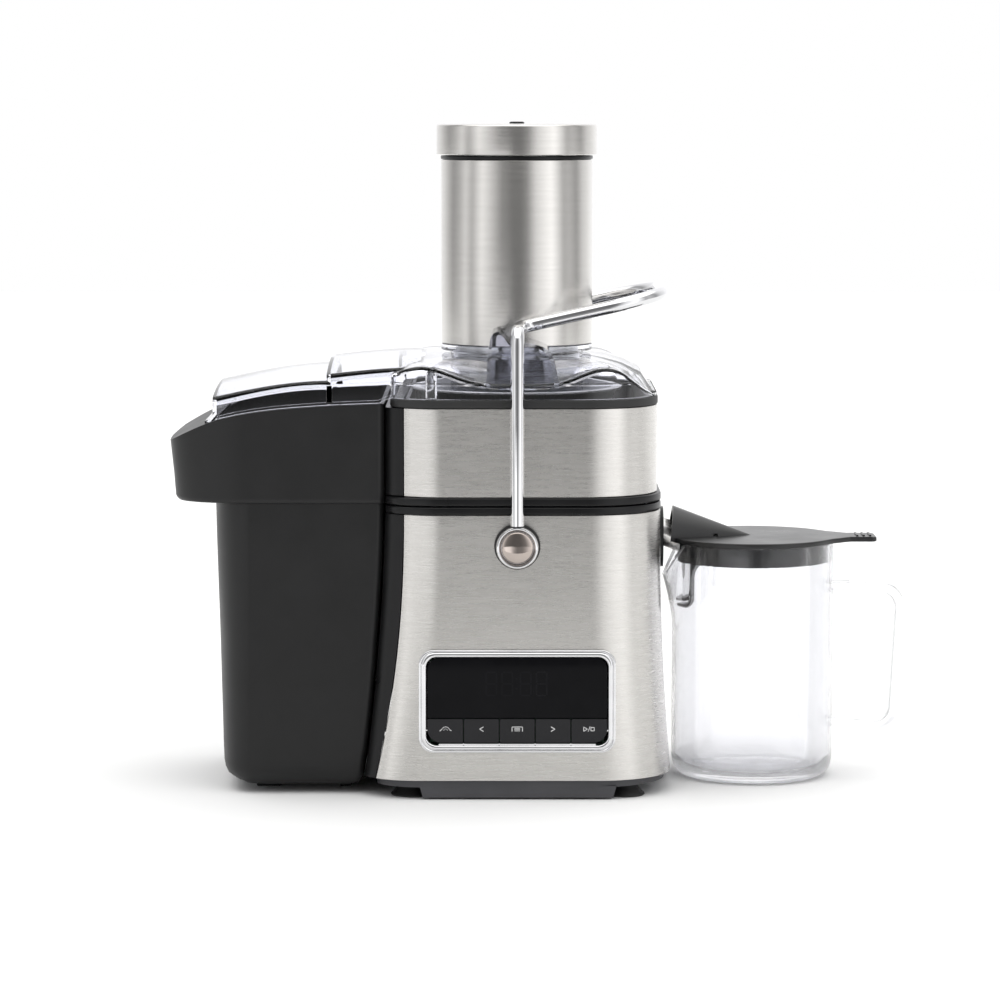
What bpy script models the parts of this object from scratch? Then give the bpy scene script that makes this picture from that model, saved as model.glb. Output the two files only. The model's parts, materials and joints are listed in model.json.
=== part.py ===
"""Centrifugal juicer: base, bowl, lid, feed chute, locking bail, pulp bin and juice jug.

Run it with  blender --background --python part.py  or from Blender's text editor.
Units are metres and +Z is up. The spin axis of the basket is the local Z axis of the
empty "juicer_axis", and the front of the machine faces -Y.
"""

from math import copysign, cos, exp, hypot, pi, radians, sin, sqrt

import bmesh
import bpy
from mathutils import Matrix, Vector

MM = 0.001
GAP = 0.3 * MM  # clearance between pieces that touch

# Where the spin axis stands, so that the whole machine is centred on the origin.
SPIN_AXIS_X = -14.4 * MM

# Levels of the stack, from the table up.
PLINTH_TOP = 11.3 * MM
HOUSING_BOTTOM = 11.7 * MM
HOUSING_TOP = 171.3 * MM
DECK_TOP = 176.3 * MM
BAND_BOTTOM = 176.8 * MM
BAND_TOP = 181.8 * MM
BOWL_TOP = 240.0 * MM
SHELL_TOP = 234.7 * MM
LID_BOTTOM = BOWL_TOP + GAP
NECK_TOP = 263.0 * MM
CHUTE_TOP = 380.7 * MM

# Plan of the machine: left side, right side and half depth, with its corner radii.
LEFT_CORNER = 20 * MM
LEFT_STRETCH = 10 * MM  # how much longer than deep the left corners are
RIGHT_CORNER = 45 * MM
HOUSING_LEFT, HOUSING_RIGHT = -75.3 * MM, 86.7 * MM
HOUSING_HALF_DEPTH = 95.0 * MM
FLARE_LEFT, FLARE_RIGHT = 14.2 * MM, 6.8 * MM
BAND_LEFT, BAND_RIGHT, BAND_HALF_DEPTH = -79.0 * MM, 87.0 * MM, 95.6 * MM
BOWL_LEFT, BOWL_RIGHT, BOWL_HALF_DEPTH = -75.3 * MM, 84.6 * MM, 94.2 * MM
STEEL = 1.2 * MM  # thickness of the steel skins
SHARP = radians(32)  # edges turned more than this stay crisp
THROUGH = 120 * MM  # reach of a cutter that passes through the whole machine
TOP_SPLIT = 222  # where the steel ends on the left corners, in degrees

# Feed chute and pusher.
CHUTE_OUTER, CHUTE_INNER = 40.9 * MM, 38.4 * MM
SLEEVE_OUTER = 46.5 * MM
CAP_RADIUS = 49.3 * MM
PUSHER_RADIUS = 37.5 * MM

# Bail: pivot height, rod radius, rod's distance in front of and behind the axis.
PIVOT_Z = 153.0 * MM
ROD_RADIUS = 4.0 * MM
ROD_Y = 101.6 * MM
BAIL_HALF_WIDTH = 60.0 * MM
BAIL_SWEEP = 121.0 * MM  # nothing on the lid reaches past this radius under the bail's rods

# Juice spout: a pipe that drops out of the bowl and leaves the right side sloping down.
PIPE_OUTER, PIPE_INNER = 8.25 * MM, 6.9 * MM
PIPE_DROP_X = 70 * MM
PIPE_SLOPE = radians(22.7)
PIPE_EXIT = Vector((87.0, 0, 153.0)) * MM
PIPE_END_X = 119.5 * MM

# Jug.
JUG_X = 146 * MM
JUG_RIM = 145.7 * MM
JUG_LID_BOTTOM, JUG_LID_TOP = 146.3 * MM, 149.3 * MM
HOOD_START, HOOD_END, HOOD_RADIUS = 94.4 * MM, 149.0 * MM, 19.8 * MM

# Pulp bin.
BIN_RIGHT_TOP = -79.5 * MM
BIN_WALL = 2.4 * MM
COLLAR_BOTTOM = 177 * MM
RIM = [(-220, 207.5), (-213, 211), (-205, 215.5), (-195, 220.8), (-183, 226), (-172, 229),
       (-160, 231.2), (-147, 232.9), (-135, 234), (-111, 235.6), (-79.5, 236.8), (-56, 237.2)]

# Control panel.
PANEL_BOTTOM, PANEL_TOP = 32.9 * MM, 86.2 * MM
PANEL_HALF_WIDTH = 53.8 * MM
BUTTON_PITCH = 21.4 * MM
BUTTON_NAMES = ["pulse_button", "speed_down_button", "menu_button", "speed_up_button",
                "start_stop_button"]


def clear_scene():
    for thing in list(bpy.data.objects):
        bpy.data.objects.remove(thing, do_unlink=True)


def material(name, colour, roughness, metallic=0.0, transmission=0.0):
    made = bpy.data.materials.new(name)
    made.use_nodes = True
    shader = made.node_tree.nodes["Principled BSDF"]
    shader.inputs["Base Color"].default_value = (*colour, 1)
    shader.inputs["Roughness"].default_value = roughness
    shader.inputs["Metallic"].default_value = metallic
    shader.inputs["Transmission Weight"].default_value = transmission
    return made


clear_scene()
AXIS = bpy.data.objects.new("juicer_axis", None)
bpy.context.collection.objects.link(AXIS)
AXIS.location = (SPIN_AXIS_X, 0, 0)

BRUSHED = material("brushed_steel", (0.55, 0.54, 0.52), 0.32, 1.0)
CHROME = material("chrome", (0.85, 0.85, 0.86), 0.06, 1.0)
DARK = material("dark_plastic", (0.022, 0.022, 0.024), 0.45)
BLACK = material("black_plastic", (0.01, 0.01, 0.011), 0.4)
GREY = material("grey_plastic", (0.08, 0.08, 0.085), 0.5)
RUBBER = material("rubber", (0.02, 0.02, 0.02), 0.75)
CLEAR = material("clear_plastic", (0.95, 0.96, 0.98), 0.03, 0.0, 1.0)
GLOSS = material("panel_gloss", (0.006, 0.006, 0.008), 0.08)
BOARD = material("circuit_board", (0.02, 0.11, 0.05), 0.5)
IRON = material("motor_iron", (0.35, 0.35, 0.36), 0.5, 1.0)
BRASS = material("bearing_bronze", (0.6, 0.42, 0.2), 0.35, 1.0)


# ---------------------------------------------------------------- mesh helpers

def finish(name, bm, look, origin=(0, 0, 0)):
    """Turn a bmesh, drawn in spin-axis coordinates, into an object whose origin is given."""
    bmesh.ops.remove_doubles(bm, verts=bm.verts, dist=1e-6)
    bmesh.ops.recalc_face_normals(bm, faces=bm.faces)
    bmesh.ops.translate(bm, verts=bm.verts, vec=-Vector(origin))
    mesh = bpy.data.meshes.new(name)
    bm.to_mesh(mesh)
    bm.free()
    mesh.shade_smooth()
    mesh.set_sharp_from_angle(angle=SHARP)
    mesh.materials.append(look)
    thing = bpy.data.objects.new(name, mesh)
    bpy.context.collection.objects.link(thing)
    thing.parent = AXIS
    thing.location = origin
    return thing


def guide(thing):
    """A shape that only cuts or joins another one."""
    thing.hide_render = True
    thing.display_type = "WIRE"
    return thing


def combine(target, other, operation):
    guide(other)
    step = target.modifiers.new(operation.lower(), "BOOLEAN")
    step.operation = operation
    step.solver = "EXACT"
    step.object = other


def cut(target, *others):
    for other in others:
        combine(target, other, "DIFFERENCE")


def join(target, *others):
    for other in others:
        combine(target, other, "UNION")


def ring_of(bm, points):
    return [bm.verts.new(point) for point in points]


def skin_rings(bm, lower, upper, closed=True):
    count = len(lower)
    for i in range(count if closed else count - 1):
        j = (i + 1) % count
        bm.faces.new((lower[i], lower[j], upper[j], upper[i]))


def loft(name, sections, look, wrap=False, **options):
    """Skin a list of closed sections. Wrap joins the last to the first, as in a ring."""
    bm = bmesh.new()
    rings = [ring_of(bm, section) for section in sections]
    for lower, upper in zip(rings, rings[1:]):
        skin_rings(bm, lower, upper)
    if wrap:
        skin_rings(bm, rings[-1], rings[0])
    else:
        bm.faces.new(list(reversed(rings[0])))
        bm.faces.new(rings[-1])
    return finish(name, bm, look, **options)


def lathe(name, profile, look, centre=(0, 0), axis="Z", at=0.0, steps=20, closed=True,
          **options):
    """Turn a profile of (radius, height) pairs. Closed profiles make rings, open ones start
    and end on the axis. Axis "Y" turns about a line along Y at height at and x centre[0]."""
    bm = bmesh.new()
    points = [(radius, 0, height) for radius, height in profile]
    verts = ring_of(bm, points)
    edges = [bm.edges.new(pair) for pair in zip(verts, verts[1:])]
    if closed:
        edges.append(bm.edges.new((verts[-1], verts[0])))
    bmesh.ops.spin(bm, geom=verts + edges, cent=(0, 0, 0), axis=(0, 0, 1), angle=2 * pi,
                   steps=steps, use_merge=True)
    if axis == "Y":
        bmesh.ops.rotate(bm, verts=bm.verts, cent=(0, 0, 0), matrix=Matrix.Rotation(pi / 2, 3, "X"))
        bmesh.ops.translate(bm, verts=bm.verts, vec=(centre[0], 0, at))
    else:
        bmesh.ops.translate(bm, verts=bm.verts, vec=(centre[0], centre[1], at))
    return finish(name, bm, look, **options)


def disc(name, radius, low, high, look, edge=0.0, **options):
    """A solid turned disc or cylinder with an optional small chamfer."""
    profile = [(0, low), (radius - edge, low), (radius, low + edge), (radius, high - edge),
               (radius - edge, high), (0, high)]
    if edge == 0:
        profile = [(0, low), (radius, low), (radius, high), (0, high)]
    return lathe(name, profile, look, closed=False, **options)


def ring(name, inner, outer, low, high, look, edge=0.0, **options):
    if edge == 0:
        profile = [(inner, low), (outer, low), (outer, high), (inner, high)]
    else:
        profile = [(inner, low), (outer - edge, low), (outer, low + edge), (outer, high - edge),
                   (outer - edge, high), (inner, high)]
    return lathe(name, profile, look, **options)


def block(name, low, high, look):
    bm = bmesh.new()
    bmesh.ops.create_cube(bm, size=1.0)
    low, high = Vector(low), Vector(high)
    bmesh.ops.scale(bm, vec=high - low, verts=bm.verts)
    bmesh.ops.translate(bm, vec=(low + high) / 2, verts=bm.verts)
    return finish(name, bm, look)


def extrude_xz(name, outline, y_low, y_high, look, **options):
    """An outline of (x, z) pairs, extruded from y_low to y_high."""
    front = [(x, y_low, z) for x, z in outline]
    back = [(x, y_high, z) for x, z in outline]
    return loft(name, [front, back], look, **options)


def plate(name, outline, low, high, look):
    """An outline of (x, y) pairs, extruded from low to high."""
    bottom = [(x, y, low) for x, y in outline]
    top = [(x, y, high) for x, y in outline]
    return loft(name, [bottom, top], look)


def arc(centre_x, centre_y, radius, start, end, steps, stretch=0.0):
    """Points on an arc, angles in degrees. Stretch makes it that much longer along X."""
    turns = [radians(start + (end - start) * i / steps) for i in range(steps + 1)]
    return [(centre_x + (radius + stretch) * cos(turn), centre_y + radius * sin(turn)) for turn in turns]


def rounded_plan(left, right, half_depth, left_corner, right_corner, steps=4, right_steps=8):
    """Plan outline, counter-clockwise from the rear left corner."""
    points = []
    left_x = left + left_corner + LEFT_STRETCH
    for x, y, radius, start, count, stretch in (
            (left_x, half_depth - left_corner, left_corner, 90, steps, LEFT_STRETCH),
            (left_x, left_corner - half_depth, left_corner, 180, steps, LEFT_STRETCH),
            (right - right_corner, right_corner - half_depth, right_corner, 270, right_steps, 0.0),
            (right - right_corner, half_depth - right_corner, right_corner, 0, right_steps, 0.0)):
        points += arc(x, y, radius, start, start + 90, count, stretch)
    return points


def rounded_rectangle(x_low, x_high, y_low, y_high, radius, steps=4):
    points = []
    for x, y, start in ((x_high - radius, y_high - radius, 0), (x_low + radius, y_high - radius, 90),
                        (x_low + radius, y_low + radius, 180), (x_high - radius, y_low + radius, 270)):
        points += arc(x, y, radius, start, start + 90, steps)
    return points


def flare(z):
    """0 at the top of the housing, 1 at its bottom, growing faster towards the bottom."""
    depth = (HOUSING_TOP - z) / (HOUSING_TOP - HOUSING_BOTTOM)
    return max(depth, 0.0) ** 2.2


def sweep(name, path, outer, look, inner=None, sides=14, **options):
    """A round rod or pipe along a path of points, turned without twist."""
    path = [Vector(point) for point in path]
    bm = bmesh.new()
    rings_out, rings_in = [], []
    side = None
    for i, point in enumerate(path):
        along = (path[min(i + 1, len(path) - 1)] - path[max(i - 1, 0)]).normalized()
        if side is None:
            side = along.orthogonal().normalized()
        side = (side - along * side.dot(along)).normalized()
        other = along.cross(side)
        turn = [side * cos(2 * pi * k / sides) + other * sin(2 * pi * k / sides) for k in range(sides)]
        rings_out.append(ring_of(bm, [point + spoke * outer for spoke in turn]))
        if inner:
            rings_in.append(ring_of(bm, [point + spoke * inner for spoke in turn]))
    for group in (rings_out, rings_in):
        for lower, upper in zip(group, group[1:]):
            skin_rings(bm, lower, upper)
    if inner:
        skin_rings(bm, rings_out[0], rings_in[0])
        skin_rings(bm, rings_out[-1], rings_in[-1])
    else:
        bm.faces.new(list(reversed(rings_out[0])))
        bm.faces.new(rings_out[-1])
    return finish(name, bm, look, **options)


def fillet_path(corners, radii, steps=7):
    """Straight runs joined by round bends. One radius for each inner corner."""
    corners = [Vector(corner) for corner in corners]
    path = [corners[0]]
    for before, corner, after, radius in zip(corners, corners[1:], corners[2:], radii):
        back, ahead = (before - corner).normalized(), (after - corner).normalized()
        half = back.angle(ahead) / 2
        reach = radius * cos(half) / sin(half)
        centre = corner + (back + ahead).normalized() * (radius / sin(half))
        start, end = corner + back * reach - centre, corner + ahead * reach - centre
        for i in range(steps + 1):
            path.append(centre + start.slerp(end, i / steps) * radius)
    path.append(corners[-1])
    return path


def rim_height(x):
    """Height of the bin's sloping rim at x."""
    x = x / MM
    for (x0, z0), (x1, z1) in zip(RIM, RIM[1:]):
        if x <= x1:
            return (z0 + (z1 - z0) * (x - x0) / (x1 - x0)) * MM
    return RIM[-1][1] * MM


# ---------------------------------------------------------------- base

def build_plinth():
    left = HOUSING_LEFT - FLARE_LEFT + 5 * MM
    right = HOUSING_RIGHT + FLARE_RIGHT - 4 * MM
    outline = rounded_plan(left, right, HOUSING_HALF_DEPTH - 2 * MM, LEFT_CORNER, RIGHT_CORNER)
    base = plate("base_plate", outline, 7.4 * MM, PLINTH_TOP, DARK)
    skirt_half_depth = HOUSING_HALF_DEPTH - 2.2 * MM
    for tag, side in (("front", -1), ("rear", 1)):
        skirt = [(-58.5, 8.2), (-56.5, 1.2), (57.5, 1.2), (59.5, 8.2)]
        bar = extrude_xz(f"skirt_{tag}", [(x * MM, z * MM) for x, z in skirt],
                         side * skirt_half_depth, side * (skirt_half_depth - 4.6 * MM), DARK)
        join(base, bar)
    for row in range(-3, 4):
        slot = block(f"vent_{row + 3}", (-30 * MM, (row * 9 - 2) * MM, 6 * MM),
                     (30 * MM, (row * 9 + 2) * MM, 13 * MM), DARK)
        cut(base, slot)


def build_feet():
    profile = [(0, 2.2), (7.0, 2.2), (8.5, 0), (12, 0), (12, 1.2), (8.5, 4.6), (7.2, 7.1), (0, 7.1)]
    profile = [(radius * MM, height * MM) for radius, height in profile]
    places = {"front_left": (-64, -74), "front_right": (65, -74), "rear_left": (-64, 74),
              "rear_right": (65, 74)}
    for place, (x, y) in places.items():
        lathe(f"suction_foot_{place}", profile, RUBBER, centre=(x * MM, y * MM), steps=16,
              closed=False)


def build_housing():
    """Steel wrap, open at its left side, where the plastic side panel closes it."""
    heights = [11.7, 17, 25, 37, 55, 80, 115, 171.3]
    outer_rows, inner_rows, panel_rows = [], [], []
    for height in heights:
        z = height * MM
        grow = flare(z)
        left, right = HOUSING_LEFT - FLARE_LEFT * grow, HOUSING_RIGHT + FLARE_RIGHT * grow
        split = TOP_SPLIT - 10 * grow
        outer_rows.append(wrap_row(left, right, HOUSING_HALF_DEPTH, split, 0, z))
        inner_rows.append(wrap_row(left, right, HOUSING_HALF_DEPTH, split, STEEL, z))
        panel_rows.append(side_row(left, HOUSING_HALF_DEPTH, split, z, side_bulge(z)))
    housing = thick_strip("motor_housing", outer_rows, inner_rows, BRUSHED)
    window = extrude_xz("panel_window",
                        rounded_rectangle(-56.6 * MM, 56.6 * MM, 30.2 * MM, 88.9 * MM, 7 * MM),
                        -110 * MM, -80 * MM, BLACK)
    bore = 9.0 * MM
    pivot_hole = lathe("pivot_holes", [(0, -THROUGH), (bore, -THROUGH), (bore, THROUGH), (0, THROUGH)],
                       BLACK, axis="Y", at=PIVOT_Z, steps=24, closed=False)
    inlet_hole = block("inlet_window", (22 * MM, 85 * MM, 22 * MM), (50 * MM, 110 * MM, 40 * MM), BLACK)
    cut(housing, window, pivot_hole, inlet_hole, pipe_clearance("pipe_hole_housing", 10.5 * MM))
    loft("housing_side_panel", panel_rows, BLACK)


def wrap_row(left, right, half_depth, split, inset, z):
    """One level of the steel wrap: from the front left corner round the right to the rear left."""
    radius, right_radius = LEFT_CORNER - inset, RIGHT_CORNER - inset
    x_left, x_right = left + LEFT_CORNER + LEFT_STRETCH, right - RIGHT_CORNER
    y_left, y_right = half_depth - LEFT_CORNER, half_depth - RIGHT_CORNER
    points = arc(x_left, -y_left, radius, split, 270, 4, LEFT_STRETCH)
    points += arc(x_right, -y_right, right_radius, 270, 360, 8)
    points += arc(x_right, y_right, right_radius, 0, 90, 8)
    points += arc(x_left, y_left, radius, 90, 360 - split, 4, LEFT_STRETCH)
    return [(x, y, z) for x, y in points]


def side_bulge(z):
    """How far the side panel stands out towards the pulp bin, which it backs closely."""
    levels = [(11.7, 2.6), (18, 2.8), (45, 3.9), (90, 5.1), (135, 4.6), (172, 3.9), (240, 3.7)]
    for (z0, out0), (z1, out1) in zip(levels, levels[1:]):
        if z / MM <= z1 + 0.01:
            return (out0 + (out1 - out0) * (z / MM - z0) / (z1 - z0)) * MM
    return levels[-1][1] * MM


def side_row(left, half_depth, split, z, bulge):
    """One level of the left side panel: its rounded front and rear edges meet the steel."""
    x_left, y_left = left + LEFT_CORNER + LEFT_STRETCH, half_depth - LEFT_CORNER
    steps = 5
    points = arc(x_left, y_left, LEFT_CORNER, 360 - split + 0.9, 180, steps, LEFT_STRETCH)
    points += arc(x_left, -y_left, LEFT_CORNER, 180, split - 0.9, steps, LEFT_STRETCH)
    row = []
    for i, (x, y) in enumerate(points):
        share = min(i, 2 * steps + 1 - i) / steps
        row.append((x - bulge * sin(share * pi / 2), y, z))
    return row


def thick_strip(name, outer_rows, inner_rows, look):
    """A closed sheet of real thickness between two matching grids of points."""
    bm = bmesh.new()
    outer = [ring_of(bm, row) for row in outer_rows]
    inner = [ring_of(bm, row) for row in inner_rows]
    for grid in (outer, inner):
        for lower, upper in zip(grid, grid[1:]):
            skin_rings(bm, lower, upper, closed=False)
    skin_rings(bm, outer[0], inner[0], closed=False)
    skin_rings(bm, outer[-1], inner[-1], closed=False)
    for end in (0, -1):
        for k in range(len(outer) - 1):
            bm.faces.new((outer[k][end], outer[k + 1][end], inner[k + 1][end], inner[k][end]))
    return finish(name, bm, look)


def pipe_direction():
    return Vector((cos(PIPE_SLOPE), 0, -sin(PIPE_SLOPE)))


def pipe_clearance(name, radius):
    """A round cutter along the sloping part of the juice spout."""
    start, end = PIPE_EXIT - pipe_direction() * 8 * MM, PIPE_EXIT + pipe_direction() * 14 * MM
    return sweep(name, [start, end], radius, BLACK, sides=20)


def build_deck():
    outline = rounded_plan(BAND_LEFT, BAND_RIGHT, BAND_HALF_DEPTH, LEFT_CORNER, RIGHT_CORNER)
    deck = plate("housing_deck", outline, HOUSING_TOP + GAP, DECK_TOP, BLACK)
    shaft_hole = disc("deck_shaft_hole", 17 * MM, 160 * MM, 180 * MM, BLACK)
    pipe_hole = disc("deck_pipe_hole", PIPE_OUTER + 0.6 * MM, 160 * MM, 180 * MM, BLACK,
                     centre=(PIPE_DROP_X, 0), steps=20)
    cut(deck, shaft_hole, pipe_hole)


def build_control_panel():
    low, high, half = PANEL_BOTTOM, PANEL_TOP, PANEL_HALF_WIDTH
    face = -HOUSING_HALF_DEPTH
    frame = rounded_rectangle(-58.9 * MM, 58.9 * MM, 28.9 * MM, 91.0 * MM, 9 * MM)
    bezel = extrude_xz("control_bezel", frame, face - 1.6 * MM, face - 0.4 * MM, CHROME)
    neck = rounded_rectangle(-56.2 * MM, 56.2 * MM, 30.6 * MM, 88.5 * MM, 6.6 * MM)
    collar = extrude_xz("bezel_collar", neck, face - 1.0 * MM, face + 5 * MM, CHROME)
    join(bezel, collar)
    opening = rounded_rectangle(-half - GAP, half + GAP, low - GAP, high + GAP, 6 * MM)
    cut(bezel, extrude_xz("bezel_opening", opening, face - 5 * MM, face + 10 * MM, CHROME))

    window = rounded_rectangle(-half, half, 50.4 * MM, high, 1.0 * MM)
    corners = rounded_rectangle(-half, half, low, high, 6 * MM)
    display = extrude_xz("display_window", window, face - 0.5 * MM, face + 2.5 * MM, GLOSS)
    trim = extrude_xz("display_corners", corners, face - 6 * MM, face + 9 * MM, GLOSS)
    combine(display, trim, "INTERSECT")

    for place, name in enumerate(BUTTON_NAMES):
        centre = (place - 2) * BUTTON_PITCH
        low_x = max(centre - BUTTON_PITCH / 2 + GAP, -half)
        high_x = min(centre + BUTTON_PITCH / 2 - GAP, half)
        outline = rounded_rectangle(low_x, high_x, 36.1 * MM, 49.9 * MM, 0.8 * MM, steps=2)
        button = extrude_xz(name, outline, face - 0.6 * MM, face + 2.6 * MM, GLOSS,
                            origin=(centre, face, 43 * MM))
        stem = block(f"stem_{place}", (centre - 3 * MM, face + 2 * MM, 41 * MM),
                     (centre + 3 * MM, face + 5.2 * MM, 45 * MM), GLOSS)
        join(button, stem)
    strip = rounded_rectangle(-half + 5 * MM, half - 5 * MM, 33.3 * MM, 35.6 * MM, 0.6 * MM, steps=2)
    extrude_xz("button_trim_strip", strip, face - 0.9 * MM, face + 2.5 * MM, CHROME)
    block("control_board", (-52 * MM, face + 7.2 * MM, 34 * MM),
          (52 * MM, face + 8.8 * MM, 86 * MM), BOARD)


def build_pivots():
    """Front and rear: a black gasket outside and a bronze bush through the steel skin."""
    for tag, side in (("front", 1), ("rear", -1)):
        face = HOUSING_HALF_DEPTH
        gasket = [(4.5, face + 0.3 * MM), (13.7, face + 0.3 * MM), (13.7, face + 1.6 * MM),
                  (13.0, face + 2.2 * MM), (4.5, face + 2.2 * MM)]
        gasket = [(radius * MM, side * y) for radius, y in gasket]
        lathe(f"pivot_gasket_{tag}", gasket, RUBBER, axis="Y", at=PIVOT_Z, steps=20)
        bush = [(4.05, face), (8.7, face), (8.7, face - 1.6 * MM), (11, face - 1.6 * MM),
                (11, face - 4 * MM), (8, face - 4 * MM), (8, face - 10 * MM), (4.05, face - 10 * MM)]
        bush = [(radius * MM, side * y) for radius, y in bush]
        lathe(f"pivot_bush_{tag}", bush, BRASS, axis="Y", at=PIVOT_Z, steps=16)


def turned_mm(name, profile, look, **options):
    """A lathe whose profile is written in millimetres."""
    return lathe(name, [(radius * MM, height * MM) for radius, height in profile], look, **options)


def build_motor():
    foot = PLINTH_TOP / MM + 0.3
    turned_mm("motor_cradle", [(40, foot), (46, foot), (46, 14), (42.5, 14.5), (42.5, 60), (40, 60)], GREY)
    turned_mm("motor_stator", [(24.5, 63), (38, 63), (38, 70), (39.5, 70), (39.5, 104), (38, 104),
                               (38, 110), (24.5, 110)], IRON)
    turned_mm("motor_bottom_bracket", [(11.4, 45), (14, 45), (14, 49), (39.6, 53), (39.6, 62.4),
                                       (36, 62.4), (36, 56), (11.4, 52)], GREY)
    turned_mm("motor_top_bracket", [(11.4, 119), (36, 115), (36, 110.4), (39.8, 110.4), (39.8, 118),
                                    (14, 127), (11.4, 127)], GREY)
    for tag, low in (("lower", 45.4), ("upper", 119.6)):
        ring(f"{tag}_bearing", 4.1 * MM, 11.1 * MM, low * MM, (low + 6) * MM, BRASS, steps=14)


def build_fittings():
    half = HOUSING_HALF_DEPTH
    body = rounded_rectangle(22.4 * MM, 49.6 * MM, 22.4 * MM, 39.6 * MM, 2.5 * MM)
    gland = extrude_xz("power_inlet", body, half - 16 * MM, half + 0.8 * MM, BLACK)
    mouth = rounded_rectangle(26 * MM, 46 * MM, 26 * MM, 36 * MM, 4.5 * MM)
    cut(gland, extrude_xz("inlet_socket", mouth, half - 12 * MM, half + 3 * MM, BLACK))
    low, high = Vector((86.9 * MM + GAP, -15 * MM, 130 * MM)), Vector((90.4 * MM, 15 * MM, 167 * MM))
    outline = rounded_rectangle(low.y, high.y, low.z, high.z, 12 * MM, steps=6)
    seat = [(low.x + 1.0 * MM * (1 - (z / MM - 130) / 40), y, z) for y, z in outline]
    face = [(high.x, y * 0.93, z) for y, z in outline]
    gasket = loft("spout_gasket", [seat, face], BLACK)
    cut(gasket, pipe_clearance("pipe_hole_gasket", PIPE_OUTER + 0.5 * MM))
    block("interlock_switch", (18 * MM, -88 * MM, 146 * MM), (38 * MM, -78 * MM, 158 * MM), GREY)


# ---------------------------------------------------------------- bowl and spin group

def build_bowl():
    outer = rounded_plan(BAND_LEFT, BAND_RIGHT, BAND_HALF_DEPTH, LEFT_CORNER, RIGHT_CORNER)
    rim = 8 * MM
    inner = rounded_plan(BAND_LEFT + rim + 2.8 * MM, BAND_RIGHT - rim, BAND_HALF_DEPTH - rim,
                         LEFT_CORNER - rim, RIGHT_CORNER - rim)
    band = [[(x, y, z) for x, y in outline] for outline, z in
            ((outer, BAND_BOTTOM), (outer, BAND_TOP), (inner, BAND_TOP), (inner, BAND_BOTTOM))]
    loft("bowl_base_ring", band, BLACK, wrap=True)

    rows = [BAND_TOP + GAP, SHELL_TOP]
    outer_rows = [wrap_row(BOWL_LEFT, BOWL_RIGHT, BOWL_HALF_DEPTH, TOP_SPLIT, 0, z) for z in rows]
    inner_rows = [wrap_row(BOWL_LEFT, BOWL_RIGHT, BOWL_HALF_DEPTH, TOP_SPLIT, STEEL, z) for z in rows]
    thick_strip("bowl_shell", outer_rows, inner_rows, BRUSHED)
    panel_rows = [side_row(BOWL_LEFT, BOWL_HALF_DEPTH, TOP_SPLIT, z, side_bulge(z)) for z in rows]
    loft("bowl_side_panel", panel_rows, BLACK)

    left, right, half = BOWL_LEFT + 8.1 * MM, BOWL_RIGHT - STEEL - GAP, BOWL_HALF_DEPTH - STEEL - GAP
    corner = LEFT_CORNER - STEEL - GAP
    wall = 3 * MM
    top_inset = 2.8 * MM
    sections = [(0, BAND_TOP + GAP), (0, SHELL_TOP), (top_inset, SHELL_TOP + GAP), (top_inset, BOWL_TOP)]
    shape = []
    for inset, z in sections:
        plan = rounded_plan(left + inset * 0.2, right - inset, half - inset, corner - inset,
                            RIGHT_CORNER - 1.5 * MM - inset)
        shape.append([(x, y, z) for x, y in plan])
    plan = rounded_plan(left + wall, right - wall - top_inset, half - wall - top_inset,
                        corner - wall - top_inset, RIGHT_CORNER - 4.5 * MM - top_inset)
    floor = 185 * MM
    for z in (BOWL_TOP, floor):
        shape.append([(x, y, z) for x, y in plan])
    bowl = loft("juice_bowl", shape, DARK)
    chimney = disc("bowl_chimney", 19 * MM, 183 * MM, 199 * MM, DARK)
    join(bowl, chimney)
    cut(bowl, disc("chimney_bore", 17 * MM, 170 * MM, 210 * MM, DARK),
        disc("bowl_drain", PIPE_OUTER + GAP, 170 * MM, 190 * MM, DARK, centre=(PIPE_DROP_X, 0), steps=20))

    ring_out = rounded_plan(BOWL_LEFT - 0.7 * MM, BOWL_RIGHT + 0.4 * MM, BOWL_HALF_DEPTH + 0.5 * MM,
                            LEFT_CORNER, RIGHT_CORNER)
    ring_in = rounded_plan(left - GAP * 0.5, right - top_inset + GAP, half - top_inset + GAP,
                           corner - top_inset + GAP, RIGHT_CORNER - 1.5 * MM - top_inset + GAP)
    low, high = SHELL_TOP + GAP, BOWL_TOP
    gasket = [[(x, y, z) for x, y in outline] for outline, z in
              ((ring_out, low), (ring_out, high), (ring_in, high), (ring_in, low + GAP))]
    loft("bowl_gasket", gasket, RUBBER, wrap=True)


def build_spout():
    corner_z = PIPE_EXIT.z + (PIPE_EXIT.x - PIPE_DROP_X) * sin(PIPE_SLOPE) / cos(PIPE_SLOPE)
    end = PIPE_EXIT + pipe_direction() * ((PIPE_END_X - PIPE_EXIT.x) / cos(PIPE_SLOPE))
    path = fillet_path([(PIPE_DROP_X, 0, 184.7 * MM), (PIPE_DROP_X, 0, corner_z), end], [12 * MM], steps=5)
    sweep("juice_spout", path, PIPE_OUTER, BRUSHED, inner=PIPE_INNER, sides=16)


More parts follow.
